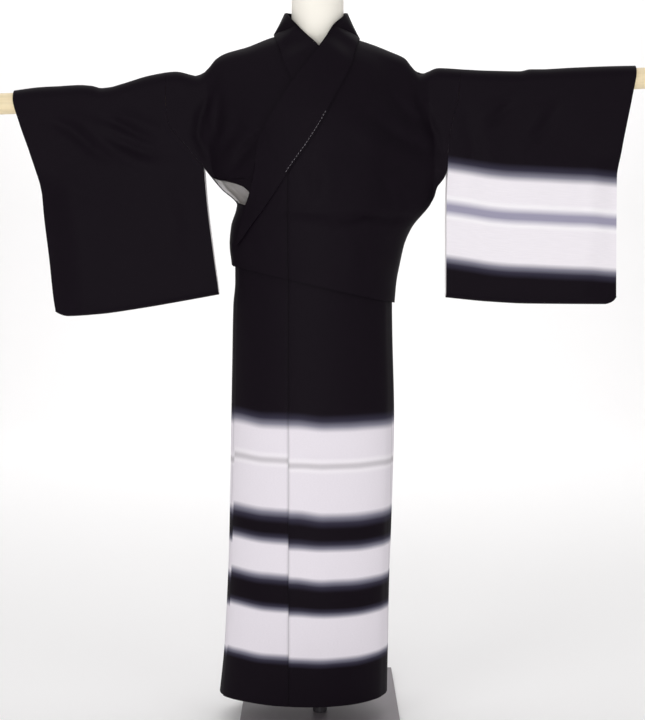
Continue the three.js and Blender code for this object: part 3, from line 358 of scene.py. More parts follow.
def inset(grid, gap):
    grid = grid.copy()
    sides = ((np.s_[:, 0], np.s_[:, 1]), (np.s_[:, -1], np.s_[:, -2]))
    ends = ((np.s_[0], np.s_[1]), (np.s_[-1], np.s_[-2]))
    for edge, inner in sides + ends:
        step = grid[inner] - grid[edge]
        grid[edge] += step * (gap / 2 / np.maximum(np.linalg.norm(step, axis=-1, keepdims=True), 1e-9))
    return grid


def newObject(name, verts, faces, materials):
    mesh = bpy.data.meshes.new(name)
    faces = faces.tolist() if hasattr(faces, "tolist") else faces
    mesh.from_pydata((np.asarray(verts) * mm).tolist(), [], faces)
    for material in materials:
        mesh.materials.append(material)
    mesh.polygons.foreach_set("use_smooth", np.ones(len(mesh.polygons), bool))
    mesh.set_sharp_from_angle(angle=math.radians(42))
    obj = bpy.data.objects.new(name, mesh)
    bpy.context.scene.collection.objects.link(obj)
    return obj


def evaluatedMesh(obj):
    graph = bpy.context.evaluated_depsgraph_get()
    made = bpy.data.meshes.new_from_object(obj.evaluated_get(graph))
    obj.modifiers.clear()
    obj.data = made
    return obj


# A wall of cloth on a grid of points: a face outside, a face inside and the cut edges between them
def wall(name, spare, materials, thickness=None, gap=0.0, lift=None, closed=False, inside=None, height=None,
         seamEdges=""):
    thickness = thickness or cloth["wall"]
    inside = bodyAxis(spare) if inside is None else inside
    normals = gridNormals(spare, closed, inside)
    if closed:
        grid = spare
    else:
        normals, grid = normals[:, 1:-1], inset(spare[:, 1:-1], gap)
    rows, across = grid.shape[:2]
    out = lift(grid)[..., None] if lift else 0.0
    seam = np.zeros((rows, across))
    if "l" in seamEdges:
        seam[:, 0] = 1
    if "r" in seamEdges:
        seam[:, -1] = 1
    dip = cloth["seamDip"] * seam[..., None]
    outer = grid + normals * (out + thickness / 2 - dip)
    inner = grid + normals * (out - thickness / 2)
    verts = np.concatenate([outer.reshape(-1, 3), inner.reshape(-1, 3)])

    ids = np.arange(rows * across).reshape(rows, across)
    nextIds = np.roll(ids, -1, axis=1) if closed else ids[:, 1:]
    here = ids if closed else ids[:, :-1]
    a, b, c, d = here[:-1], here[1:], nextIds[1:], nextIds[:-1]
    outerFaces = np.stack([a, b, c, d], axis=-1).reshape(-1, 4)
    shift = rows * across
    innerFaces = outerFaces[:, ::-1] + shift
    rims = [np.stack([here[0], nextIds[0], nextIds[0] + shift, here[0] + shift], axis=-1),
            np.stack([here[-1], here[-1] + shift, nextIds[-1] + shift, nextIds[-1]], axis=-1)]
    if not closed:
        left, right = ids[:, 0], ids[:, -1]
        rims += [np.stack([left[:-1], left[:-1] + shift, left[1:] + shift, left[1:]], axis=-1),
                 np.stack([right[:-1], right[1:], right[1:] + shift, right[:-1] + shift], axis=-1)]
    faces = np.concatenate([outerFaces, innerFaces, *rims])
    p, q, r, s = (verts[faces[:, i]] for i in range(4))
    volume = (p * (np.cross(q, r) + np.cross(r, s))).sum()
    if volume < 0:
        faces = faces[:, ::-1]
    obj = newObject(name, verts, faces, materials)

    # u runs across the cloth and v up it, in metres, for the weave and the dyed bands
    steps = np.linalg.norm(np.diff(grid, axis=1), axis=-1)
    u = np.concatenate([np.zeros((rows, 1)), np.cumsum(steps, axis=1)], axis=1)
    v = height(grid) if height else grid[..., 2]
    uv = np.tile(np.stack([u, v], axis=-1).reshape(-1, 2) * mm, (2, 1))
    layer = obj.data.uv_layers.new(name="cloth")
    corners = np.empty(len(obj.data.loops), np.int32)
    obj.data.loops.foreach_get("vertex_index", corners)
    layer.data.foreach_set("uv", uv[corners].ravel())
    # The seam columns, which the cloth shaders darken as painted shade where the seams' folds would shade
    near = obj.data.attributes.new("seam", "FLOAT", "POINT")
    near.data.foreach_set("value", np.tile(seam.ravel(), 2))
    if len(materials) > 1:
        index = np.zeros(len(faces), np.int32)
        index[len(outerFaces):2 * len(outerFaces)] = 1
        obj.data.polygons.foreach_set("material_index", index)
    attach(obj, "root")
    return obj


# Materials


def newMaterial(name, colour, roughness, **sockets):
    material = bpy.data.materials.new(name)
    material.use_nodes = True
    shader = material.node_tree.nodes["Principled BSDF"]
    shader.inputs["Base Color"].default_value = (*colour, 1)
    shader.inputs["Roughness"].default_value = roughness
    for socket, value in sockets.items():
        shader.inputs[socket.replace("_", " ")].default_value = value
    return material, material.node_tree, shader


def addNode(tree, kind, **values):
    node = tree.nodes.new(kind)
    for name, value in values.items():
        if hasattr(node, name):
            setattr(node, name, value)
        else:
            node.inputs[name.replace("_", " ")].default_value = value
    return node


def join(tree, *links):
    for source, output, node, entry in links:
        tree.links.new(source.outputs[output], node.inputs[entry])


# Uneven grain from a stretched noise: a bump on the shader, and a node that shades its colour by as much
def grainNodes(tree, shader, coordinates, output, stretch, detail, shades, bump, bumpDepth, colour):
    spread = addNode(tree, "ShaderNodeMapping")
    spread.inputs["Scale"].default_value = stretch
    noise = addNode(tree, "ShaderNodeTexNoise", Scale=1.0, Detail=detail, Roughness=0.6)
    bumps = addNode(tree, "ShaderNodeBump", Strength=bump, Distance=bumpDepth)
    level = addNode(tree, "ShaderNodeMapRange", From_Min=0.3, From_Max=0.7, To_Min=shades[0], To_Max=shades[1])
    toned = addNode(tree, "ShaderNodeVectorMath", operation="SCALE")
    toned.inputs[0].default_value = colour
    join(tree, (coordinates, output, spread, "Vector"), (spread, "Vector", noise, "Vector"),
         (noise, "Fac", bumps, "Height"), (bumps, "Normal", shader, "Normal"),
         (noise, "Fac", level, "Value"), (level, "Result", toned, "Scale"))
    return toned


# Dyed silk crepe. The tones are as they look in plain daylight, except the sleeve's pale tone, which is the
# pale tone made brighter as painted light where the sleeve faces the lamps
silk = {
    "black": (0.0054, 0.0031, 0.0061), "light": (0.775, 0.735, 0.79), "sleevePaleWithPaintedLight": (0.86, 0.825, 0.87),
    "stripe": (0.58, 0.55, 0.585), "cuffStripe": (0.34, 0.325, 0.43), "brightEdge": (0.84, 0.805, 0.85),
    "sleeveEdge": (0.91, 0.885, 0.92), "dyeDark": (0.032, 0.029, 0.05), "dyeEdge": (0.22, 0.215, 0.27),
    # The last number below is painted shade: the factor that darkens the colour along the seams
    "roughness": 0.6, "sheen": 0.004, "specular": 0.06, "paintedSeamShade": 0.8,
    "threadScale": 1100.0, "threadStretch": 260.0, "slub": (0.95, 1.02),
    "bump": 0.12, "bumpDepth": 0.0005, "waver": 5.0,
}

# Bands by height in millimetres: where each soft change is, how wide it is, and the tone above it
skirtStripe = [(518, 6, "brightEdge"), (526, 7, "stripe"), (537, 7, "brightEdge"), (546, 6, "light")]
skirtBands = [
    (140, 24, "light"), (235, 22, "black"), (296, 28, "light"), (368, 26, "black"), (428, 34, "light"),
    *skirtStripe, (617, 38, "black"),
]
okumiBands = [
    (146, 24, "light"), (243, 22, "black"), (309, 28, "light"), (381, 26, "black"), (438, 34, "light"),
    *[(z + 12, width, shade) for z, width, shade in skirtStripe], (618, 38, "black"),
]
# The sleeve's pale bands use the brighter copy of the pale tone: painted light
sleeveBands = [
    (927.5, 34, "sleevePaleWithPaintedLight"), (1011, 6, "sleeveEdge"), (1023, 14, "cuffStripe"), (1047, 14, "sleeveEdge"),
    (1060, 6, "sleevePaleWithPaintedLight"), (1118.5, 38, "black"),
]


# The bands' colour by height: each soft change runs from black through two greys, or the other way
def bandRamp(tree, uv, bands):
    low, high = bands[0][0] - 0.66 * bands[0][1], bands[-1][0] + 80
    parts = addNode(tree, "ShaderNodeSeparateXYZ")
    waver = addNode(tree, "ShaderNodeTexNoise", Scale=9.0, Detail=1.0)
    shift = addNode(tree, "ShaderNodeMath", operation="MULTIPLY_ADD")
    shift.inputs[1].default_value = silk["waver"] * mm
    rise = silk["waver"] / 2
    level = addNode(tree, "ShaderNodeMapRange", From_Min=(low + rise) * mm, From_Max=(high + rise) * mm)
    ramp = addNode(tree, "ShaderNodeValToRGB")
    join(tree, (uv, "UV", waver, "Vector"), (uv, "UV", parts, "Vector"), (waver, "Fac", shift, 0),
         (parts, "Y", shift, 2), (shift, 0, level, "Value"), (level, "Result", ramp, "Fac"))
    stops = ramp.color_ramp
    stops.interpolation = "LINEAR"
    stops.elements.remove(stops.elements[1])
    marks = []
    tone = "black"
    for z, width, nextTone in bands:
        if nextTone == "black":
            changes = [(-0.34, tone), (0, "dyeEdge"), (0.3, "dyeDark"), (0.66, nextTone)]
        elif tone == "black":
            changes = [(-0.66, tone), (-0.3, "dyeDark"), (0, "dyeEdge"), (0.34, nextTone)]
        else:
            changes = [(-0.5, tone), (0.5, nextTone)]
        marks += [((z + share * width - low) / (high - low), shade) for share, shade in changes]
        tone = nextTone
    for index, (at, shade) in enumerate(marks):
        stop = stops.elements.new(at) if index else stops.elements[0]
        stop.position = at
        stop.color = (*silk[shade], 1)
    return ramp


# Crepe: fine uneven threads, in colour and in height, with the bands across them, and painted shade along its
# seams
def clothShader(name, bands=None):
    material, tree, shader = newMaterial(
        name, silk["black"], silk["roughness"], Sheen_Weight=silk["sheen"], Sheen_Roughness=0.5,
        Specular_IOR_Level=silk["specular"],
    )
    uv = addNode(tree, "ShaderNodeUVMap", uv_map="cloth")
    grain = grainNodes(tree, shader, uv, "UV", (silk["threadStretch"], silk["threadScale"], 1), 2.0,
                       silk["slub"], silk["bump"], silk["bumpDepth"], silk["black"])
    if bands:
        join(tree, (bandRamp(tree, uv, bands), "Color", grain, 0))
    # Painted shade: the base colour is darkened on the seam columns, standing in for the shadow in the seams'
    # folds
    seam = addNode(tree, "ShaderNodeAttribute", attribute_name="seam")
    seamShadeFactor = addNode(tree, "ShaderNodeMapRange", To_Min=1.0, To_Max=silk["paintedSeamShade"])
    shaded = addNode(tree, "ShaderNodeVectorMath", operation="SCALE")
    join(tree, (seam, "Fac", seamShadeFactor, "Value"), (grain, "Vector", shaded, 0),
         (seamShadeFactor, "Result", shaded, "Scale"), (shaded, "Vector", shader, "Base Color"))
    return material


# A plain material whose colour varies a little by a noise stretched along an axis, with a fine bump
def grainShader(name, colour, roughness, stretch, vary, bump):
    material, tree, shader = newMaterial(name, colour, roughness, Specular_IOR_Level=0.3)
    toned = grainNodes(tree, shader, addNode(tree, "ShaderNodeTexCoord"), "Object", stretch, 3.0,
                       (1 - vary, 1 + vary), bump, 0.0004, colour)
    join(tree, (toned, "Vector", shader, "Base Color"))
    return material


blackSilk = clothShader("black_silk")
skirtSilk = clothShader("banded_silk", skirtBands)
okumiSilk = clothShader("banded_silk_okumi", okumiBands)
sleeveSilk = clothShader("banded_silk_sleeve", sleeveBands)
liningSilk = grainShader("lining", (0.90, 0.875, 0.885), 0.7, (300, 300, 1200), 0.02, 0.08)
formCover = grainShader("form_cover", (0.95, 0.915, 0.83), 0.8, (900, 900, 1400), 0.015, 0.12)
paleWood = grainShader("pale_wood", (0.83, 0.70, 0.46), 0.5, (6, 160, 160), 0.06, 0.10)
greyPaint = grainShader("grey_paint", (0.20, 0.18, 0.195), 0.42, (500, 500, 500), 0.04, 0.06)
# Near black paint for the column: painted shade for the shadow it stands in under the hem
columnShadePaint = grainShader("dark_paint", (0.03, 0.027, 0.031), 0.4, (500, 500, 500), 0.04, 0.06)
paleThread = grainShader("pale_thread", (0.30, 0.28, 0.31), 0.8, (2000, 2000, 2000), 0.08, 0.1)
print("materials ready")


# Bodice


def overFrontLift(grid):
    fromSide = 1 - ease(grid[..., 0], layers["lapInnerX"], layers["lapOuterX"])
    fromShoulder = ease(topOutline(grid[..., 0]) - grid[..., 2], 0, layers["shoulderDrop"])
    aboveFold = ease(grid[..., 2] - foldZ(grid[..., 0]), 0, layers["foldRise"])
    lift = mix(layers["foldLift"], layers["overFront"], aboveFold)
    return np.where(grid[..., 1] > 0, 0, lift * fromSide * fromShoulder)


def seamAngle(points):
    rows = {"z": [], "angle": []}
    for x, z, where in points:
        rows["z"].append(z)
        rows["angle"].append(float(bodiceAngle(float(x), float(z), where == "back")) if where != "angle" else x)
    return column({name: np.array(values, float) for name, values in rows.items()}, "z", "angle")


def outerEdge(armhole, below):
    lower = seamAngle(below)
    return lambda z: np.where(z >= torso["armholeEndZ"], armhole, lower(z))


def backInnerEdge(neckX):
    sign = math.copysign(1, neckX)
    centreX, neckZ = torso["centreX"], torso["backNeckZ"]
    neckline = seamAngle([
        (neckX, float(topOutline(neckX)), "back"),
        (mix(centreX, neckX, 0.7), neckZ + 5, "back"),
        (mix(centreX, neckX, 0.3), neckZ + 2, "back"),
        (centreX + sign, neckZ, "back"),
    ])

    def centre(z):
        angle = bodiceAngle(np.full(np.shape(z), float(centreX)), z, True)
        return np.where((sign < 0) & (angle > 0), angle - 360, angle)

    return lambda z: np.where(z >= neckZ, neckline(z), centre(z))


backSideAngle = 90.01


# Edges as places in the front view, on the front of the cloth or on its back
def on(side, *places):
    return [(x, z, side) for x, z in places]


rightFrontOpening = on("front", (-240, 1137), (-226, 1116), (-206, 1111), (-179, 1104), (-154, 1094),
                       (-145, 1086), (-140, 1072))
rightBackOpening = [*on("back", (-240, 1137), (-232, 1117), (-206, 1095)),
                    *on("front", (-176, 1068), (-155, 1059), (-142, 1056))]
rightSideSeam = on("front", (-144, 1030), (-155, 980), (-156, 935), (-154, 850))
leftFrontOpening = [*on("front", (264, 1137), (258, 1117), (243, 1096)), (90, 1060, "angle")]
leftBackOpening = [*on("back", (264, 1137), (259, 1117), (244, 1096)), (backSideAngle, 1056, "angle")]
rightFrontEdge = on("front", (-67, 1350), (-40, 1300), (-14, 1250), (4, 1200), (24, 1140), (34, 1060),
                    (36, 850))
leftFrontEdge = on("front", (54, 1350), (27, 1300), (0, 1250), (-28, 1200), (-54, 1155), (-63, 1136))
bodyCloth = {"columns": 72, "length": 500}


def bodyGrid(frontInner, frontOuter, backInner, backOuter):
    downs = downRows(bodyCloth["length"], topRound=sleeve["poleRound"])
    front, back = (panel(inner, outer, topOutline, foldZ, bodiceAt, bodyCloth["columns"], downs)
                   for inner, outer in ((frontInner, frontOuter), (backInner, backOuter)))
    grid = np.concatenate([front[::-1], back[1:]])
    grid[:, -1] = 2 * grid[:, -2] - grid[:, -3]
    return grid


rightNeck = (torso["rightNeckX"], float(topOutline(torso["rightNeckX"])), "front")
leftNeck = (torso["leftNeckX"], float(topOutline(torso["leftNeckX"])), "front")
leftNeckEdge = seamAngle([leftNeck, *leftFrontEdge])
okumiSeamX = okumi["seamX"]


def okumiSeamAngle(z):
    return bodiceAngle(np.full(np.shape(z), float(okumiSeamX)), z)


rightBody = bodyGrid(
    seamAngle([rightNeck, *rightFrontEdge]), outerEdge(-90, rightFrontOpening + rightSideSeam),
    backInnerEdge(torso["rightNeckX"]), outerEdge(-backSideAngle, rightBackOpening + rightSideSeam),
)
leftBody = bodyGrid(
    lambda z: np.where(z > okumi["pointZ"], leftNeckEdge(z), okumiSeamAngle(z)),
    outerEdge(90, leftFrontOpening),
    backInnerEdge(torso["leftNeckX"]), outerEdge(backSideAngle, leftBackOpening),
)
lined = [blackSilk, liningSilk]
bodyRight = wall("body_right_cloth", rightBody, lined, gap=cloth["bodyGap"], seamEdges="lr")
bodyLeft = wall("body_left_cloth", leftBody, lined, gap=cloth["bodyGap"], lift=overFrontLift, seamEdges="lr")
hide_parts("body_right")
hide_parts("body_left")
print("body lengths made")

okumiTop = column(table("x z", [(-185, 968), (-160, 998), (-118, 1050), (-60, 1130)]), "x", "z")
okumiUpper = panel(
    okumiSeamAngle, lambda z: bodiceAngle(np.full(np.shape(z), float(okumi["upperEndX"])), z),
    okumiTop, foldZ, bodiceAt, okumi["upperColumns"], np.linspace(0, 1, okumi["upperRows"]),
)
okumiPoint = wall("okumi_left_upper_cloth", okumiUpper, lined, gap=cloth["seamGap"],
                  lift=overFrontLift, seamEdges="l")
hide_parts("okumi_left_upper")

# The lining that shows in the opening under the wearer's right arm
lining = {"clearance": 2.5, "edgeAngle": 2, "angle": 24, "topZ": 1124, "bottomZ": 1060,
          "columns": 16, "rows": 20}
liningEdge = seamAngle(rightBackOpening)
liningGrid = panel(
    lambda z: liningEdge(z) - lining["edgeAngle"] - lining["angle"],
    lambda z: liningEdge(z) - lining["edgeAngle"],
    constant(lining["topZ"]), constant(lining["bottomZ"]), bodiceAt,
    lining["columns"], np.linspace(0, 1, lining["rows"]),
)
liningDepth = cloth["wall"] / 2 + lining["clearance"] + cloth["liningWall"] / 2
liningRight = wall("lining_right_cloth", liningGrid, [liningSilk], thickness=cloth["liningWall"],
                   lift=lambda grid: np.full(grid.shape[:2], -liningDepth))
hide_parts("lining_right")


# Sleeves

rightSleeveInner = table("x z", [(-240, 1137), (-233.5, 1060), (-225, 990), (-217, 930), (-209.5, 872),
                                 (-207, 820)])
rightCuff = table("x z", [(-635, 1310), (-634, 1279), (-621, 1230), (-599, 1166), (-580, 1100), (-573, 1030),
                          (-563, 950), (-554, 866), (-546, 820)])
rightSleeveBottom = table("x z", [(-560, 850), (-545, 836), (-525, 830), (-460, 834), (-374, 846), (-281, 862),
                                  (-205, 876)])
leftSleeveInner = table("x z", [(264, 1137), (261.5, 1060), (261, 850)])
leftCuff = table("x z", [(655, 1360), (654, 1340), (644, 1280), (634, 1229), (623, 1170), (617, 1115),
                         (616, 1000), (615.5, 850)])
leftSleeveBottom = table("x z", [(260, 869), (354, 860), (437, 856), (592, 855), (608, 860), (618, 872)])
sleeveCloth = {"columns": 84, "length": 480, "creaseRise": 40}


def sleeveRings(armhole, innerEdge, cuff, bottom):
    below = column(innerEdge, "z", "x")
    away = math.copysign(cloth["armholeGap"], cuff["x"][0])
    lines = panel(
        lambda z: away + np.where(z >= torso["armholeEndZ"], armhole(z), below(z)), column(cuff, "z", "x"),
        topOutline, column(bottom, "x", "z"), lambda x, z: place(x, 0, z),
        sleeveCloth["columns"],
        downRows(sleeveCloth["length"], topRound=sleeve["poleRound"], endRound=sleeve["bottomRound"]),
    )[:, 1:-1]
    x, z = lines[..., 0], lines[..., 2]
    drop, lowest = topOutline(x) - z, z[-1]
    share = np.arange(sleeveCloth["columns"] + 1) / sleeveCloth["columns"]
    belowCuff = ease(drop, sleeve["cuffOpening"] - sleeve["cuffTaper"], sleeve["cuffOpening"])
    shut = ease(share, sleeve["shutFrom"], 1) * belowCuff
    half = mix(sleeveHalfGap(drop), sleeve["edgeHalfGap"], shut)
    bottomRound = quarterRound((z - lowest) / mix(sleeve["bottomRound"], sleeve["edgeHalfGap"], shut))
    rings = []
    for side in (-1, 1):
        relief = creaseRelief(x, z, side) * besidePole(drop) * (1 - shut)
        relief = relief * ease(z - lowest, 0, sleeveCloth["creaseRise"])
        rings.append(place(x, side * (half + relief) * bottomRound, z))
    front, back = rings
    ring = np.concatenate([front, back[1:-1][::-1]])
    return ring.transpose(1, 0, 2)


def sleeveWall(name, rings, material, height=None):
    centres = rings.mean(axis=1, keepdims=True)
    return wall(name, rings, [material, liningSilk], closed=True, inside=centres, height=height)


# The left sleeve's bands follow its threads, which drop a little towards the cuff
leftGrain = column(table("x drop", [(264, 20), (312, 12.7), (354, 5.8), (395, 1.9), (437, 0), (478, -2),
                                    (520, -4), (562, -5.5), (590, -8), (616, -10)]), "x", "drop")
rightRings = sleeveRings(bodice["left"], rightSleeveInner, rightCuff, rightSleeveBottom)
leftRings = sleeveRings(bodice["right"], leftSleeveInner, leftCuff, leftSleeveBottom)
sleeveRight = sleeveWall("sleeve_right_cloth", rightRings, blackSilk)
sleeveLeft = sleeveWall("sleeve_left_cloth", leftRings, sleeveSilk,
                        height=lambda grid: grid[..., 2] - leftGrain(grid[..., 0]))
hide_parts("sleeve_right")
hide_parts("sleeve_left")
print("sleeves made")


# Skirt


def skirtSeam(z):
    middle, half = middleAndHalf(skirt, z)
    return np.degrees(np.arcsin((okumiSeamX - middle) / half))


def overSkirt(grid):
    return layers["skirtOver"] * (1 - ease(skirtAngle(grid), layers["lapInnerAngle"], layers["lapOuterAngle"]))


# How far the dyed edges rise, by their height: at the okumi seam, in the middle and at the side seam of the
# over side's front, and towards the free edge of its okumi
bandDrift = table("z atSeam atMiddle atSide", [
    (140, 2, 0, 5), (235, 0, -3, 0), (297, 7, 1, 3), (368, 2, -2, 0), (429, 8, 0, 3), (533, 3, 0, 2),
    (617, -1, -5, -5),
])
bandDriftRead = columns(bandDrift, "z")
bandTurn = {"seamX": -50, "middleX": 10, "middleEndX": 70, "sideX": 130, "edgeRise": 5, "edgeX": -170,
            "edgeEndX": -110}


def bandHeight(rise):
    def height(grid):
        x, z = grid[..., 0], grid[..., 2]
        atSeam, atMiddle, atSide = (bandDriftRead[name](z) for name in ("atSeam", "atMiddle", "atSide"))
        drift = mix(mix(atSeam, atMiddle, ease(x, bandTurn["seamX"], bandTurn["middleX"])), atSide,
                    ease(x, bandTurn["middleEndX"], bandTurn["sideX"]))
        drift = np.where((x < okumiSeamX) | (grid[..., 1] > 0), 0, drift)
        atEdge = bandTurn["edgeRise"] * (1 - ease(x, bandTurn["edgeX"], bandTurn["edgeEndX"]))
        return z - rise - atEdge - drift

    return height


def rightSideSeamAngle(z):
    return -sideSeamAngle(z)


underSeam = constant(okumi["underSeamAngle"])
skirtPanels = [
    # name, from, to, lift, how far its bands stand above the others', silk, edges with a seam
    ("skirt_front_right", rightSideSeamAngle, underSeam, None, 0, skirtSilk, "lr"),
    ("okumi_right", underSeam, constant(okumi["underEdgeAngle"]), None, 3, skirtSilk, "l"),
    ("skirt_front_left", skirtSeam, sideSeamAngle, overSkirt, 0, skirtSilk, "lr"),
    ("okumi_left", constant(okumi["edgeAngle"]), skirtSeam, overSkirt, 0, okumiSilk, "r"),
    ("skirt_back_left", sideSeamAngle, constant(180), None, 2, skirtSilk, "lr"),
    ("skirt_back_right", constant(-180), rightSideSeamAngle, None, -1, skirtSilk, "lr"),
]


def hemZ(x):
    return hem["z"] + hem["sideRise"] * ease(np.abs(x - torso["centreX"]), hem["riseFrom"], hem["riseTo"])


skirtCloth = {"columnAngle": 1.7, "rows": 170, "middleZ": 500.0}
for name, start, end, lift, bandRise, silkHere, seams in skirtPanels:
    middleZ = np.array([skirtCloth["middleZ"]])
    count = int(abs(end(middleZ) - start(middleZ))[0] / skirtCloth["columnAngle"])
    grid = panel(start, end, lambda x: foldZ(x) + waistFold["overlap"], hemZ, skirtAt, count,
                 np.linspace(0, 1, skirtCloth["rows"]))
    wall(name + "_cloth", grid, [silkHere, liningSilk], gap=cloth["seamGap"], lift=lift,
                             height=bandHeight(bandRise), seamEdges=seams)
    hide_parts(name)
print("skirt made")


# Collar

# Stations along the strip, from the end under the wearer's right arm over the chest, round the neck and
# down the hidden side. Upper and lower are its edges; free is 1 where an edge stands off the body.
over, under = layers["overCollar"], layers["underCollar"]
collarStations = table("upperX upperY upperZ upperFree lowerX lowerY lowerZ lowerFree lift", [
    (-128, 0, 1120, 0, -164, 0, 972, 0, over + 1),
    (-122, 0, 1168, 0, -118, 0, 1036, 0, over),
    (-107, 0, 1216, 0, -66, 0, 1117, 0, over),
    (-57, 0, 1300, 0, -6, 0, 1206, 0, over),
    (-24, 0, 1345, 0, 32, 0, 1278, 0, over),
    (4, -86, 1384, 0, 60, 0, 1336, 0, over),
    (27, -68, 1424, 1, 74, -60, 1380, 0, 9),
    (50, -32, 1450, 1, 81, -24, 1398, 1, 5),
    (54, 8, 1461, 1, 78, 12, 1404, 1, 0),
    (38, 40, 1464, 1, 60, 58, 1402, 1, 0),
    (-8, 56, 1465, 1, -8, 84, 1395, 1, 0),
    (-54, 40, 1464, 1, -76, 58, 1406, 1, 0),
    (-70, 8, 1461, 1, -92, 12, 1412, 1, 0),
    (-66, -32, 1450, 1, -94, -26, 1407, 1, 3),
    (-45, -64, 1423, 1, -86, -60, 1384, 0, under),
    (-5, -78, 1382, 0, -72, 0, 1342, 0, under),
    (21, 0, 1343, 0, -47, 0, 1290, 0, under),
    (46, 0, 1300, 0, -14, 0, 1226, 0, under),
    (70, 0, 1256, 0, 12, 0, 1180, 0, under),
])
collarStations["station"] = np.arange(len(collarStations["lift"]), dtype=float)
collarRead = columns(collarStations, "station")
collarCut = {"coverStart": 2, "coverEnd": 16, "coverMargin": 0.03, "steps": 330, "across": 18, "insideDrop": 60}


def collarPoint(station, width):
    read = {name: reader(station) for name, reader in collarRead.items()}
    x, y, z = (mix(read["upper" + axis], read["lower" + axis], width) for axis in "XYZ")
    free = mix(read["upperFree"], read["lowerFree"], width)[..., None]
    alongX = bodicePoint(x + 1, z, -1) - bodicePoint(x - 1, z, -1)
    alongZ = bodicePoint(x, z + 1, -1) - bodicePoint(x, z - 1, -1)
    normal = np.cross(alongX, alongZ)
    normal /= np.linalg.norm(normal, axis=-1, keepdims=True)
    lying = bodicePoint(x, z, -1) + normal * read["lift"][..., None]
    return mix(lying, place(x, y, z), free)


def collarGrid(start, end, steps, margin):
    stations = np.linspace(start, end, steps)[:, None]
    widths = mix(margin, 1 - margin, np.arange(-1, collarCut["across"] + 2) / collarCut["across"])[None, :]
    return collarPoint(*np.broadcast_arrays(stations, widths))


def collarInside(grid):
    return place(torso["centreX"], 0, grid[..., 2] - collarCut["insideDrop"])


lastStation = len(collarStations["lift"]) - 1
strip = collarGrid(0, lastStation, collarCut["steps"], 0)
collar = wall("collar_cloth", strip, [blackSilk], thickness=cloth["collarWall"], inside=collarInside(strip))
cover = collarGrid(collarCut["coverStart"], collarCut["coverEnd"], collarCut["steps"], collarCut["coverMargin"])
coverLift = cloth["collarWall"] / 2 + cloth["coverGap"] + cloth["coverWall"] / 2
overCollar = wall("over_collar_cloth", cover, [blackSilk], thickness=cloth["coverWall"],
                  inside=collarInside(cover), lift=lambda grid: np.full(grid.shape[:2], coverLift))
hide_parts("collar")
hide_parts("over_collar")

# Running stitches of pale thread along the over collar's lower edge, where they show on the chest
stitch = {"from": 2.05, "to": 3.42, "points": 60, "inset": 0.036, "proud": 0.25, "pitch": 7.0, "length": 4.2,
          "thickness": 0.75}
stitchWidths = 1 - stitch["inset"] + np.array([-0.01, 0, 0.01])
stitchStations = np.linspace(stitch["from"], stitch["to"], stitch["points"])
stitchGrid = collarPoint(*np.broadcast_arrays(stitchStations[:, None], stitchWidths[None, :]))
stitchOut = gridNormals(stitchGrid, False, collarInside(stitchGrid))[:, 1]
stitchLine = stitchGrid[:, 1] + stitchOut * (coverLift + cloth["coverWall"] / 2 + stitch["proud"])


# Repeats a small rounded dash along a line of edges
def stitchNodes():
    tree = bpy.data.node_groups.new("running_stitch", "GeometryNodeTree")
    sockets = {}
    for name, way, kind in [
        ("Line", "INPUT", "Geometry"), ("Pitch", "INPUT", "Float"), ("Length", "INPUT", "Float"),
        ("Thickness", "INPUT", "Float"), ("Thread", "INPUT", "Material"), ("Stitches", "OUTPUT", "Geometry"),
    ]:
        sockets[name] = tree.interface.new_socket(name, in_out=way, socket_type="NodeSocket" + kind).identifier
    given, made = tree.nodes.new("NodeGroupInput"), tree.nodes.new("NodeGroupOutput")
    curve = addNode(tree, "GeometryNodeMeshToCurve")
    spaced = addNode(tree, "GeometryNodeResampleCurve", mode="LENGTH")
    tangent = addNode(tree, "GeometryNodeInputTangent")
    turn = addNode(tree, "FunctionNodeAlignRotationToVector", axis="Z")
    dash = addNode(tree, "GeometryNodeMeshUVSphere", Segments=8, Rings=6, Radius=0.5)
    size = addNode(tree, "ShaderNodeCombineXYZ")
    repeated = addNode(tree, "GeometryNodeInstanceOnPoints")
    real = addNode(tree, "GeometryNodeRealizeInstances")
    painted = addNode(tree, "GeometryNodeSetMaterial")
    for source, socket, node, entry in [
        (given, "Line", curve, "Mesh"), (curve, "Curve", spaced, "Curve"), (given, "Pitch", spaced, "Length"),
        (spaced, "Curve", repeated, "Points"), (dash, "Mesh", repeated, "Instance"),
        (tangent, "Tangent", turn, "Vector"), (turn, "Rotation", repeated, "Rotation"),
        (given, "Thickness", size, "X"), (given, "Thickness", size, "Y"), (given, "Length", size, "Z"),
        (size, "Vector", repeated, "Scale"), (repeated, "Instances", real, "Geometry"),
        (real, "Geometry", painted, "Geometry"), (given, "Thread", painted, "Material"),
        (painted, "Geometry", made, "Stitches"),
    ]:
        join(tree, (source, socket, node, entry))
    return tree, sockets


stitches = newObject("collar_stitches", stitchLine, [], [paleThread])
stitches.data.edges.add(len(stitchLine) - 1)
for index, edge in enumerate(stitches.data.edges):
    edge.vertices = (index, index + 1)
stitchTree, stitchSockets = stitchNodes()
repeat = stitches.modifiers.new("running_stitch", "NODES")
repeat.node_group = stitchTree
for name in ("pitch", "length", "thickness"):
    repeat[stitchSockets[name.capitalize()]] = stitch[name] * mm
repeat[stitchSockets["Thread"]] = paleThread
evaluatedMesh(stitches)
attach(stitches, "root")
print("collar made")


# Stand


# Faces between rings of points, one ring above the other, and the two ends
def ringFaces(levels, sides):
    faces = []
    for low in range(0, (levels - 1) * sides, sides):
        for i in range(sides):
            after = (i + 1) % sides
            faces.append((low + i, low + after, low + sides + after, low + sides + i))
    return faces + [tuple(range(sides))[::-1], tuple(range((levels - 1) * sides, levels * sides))]


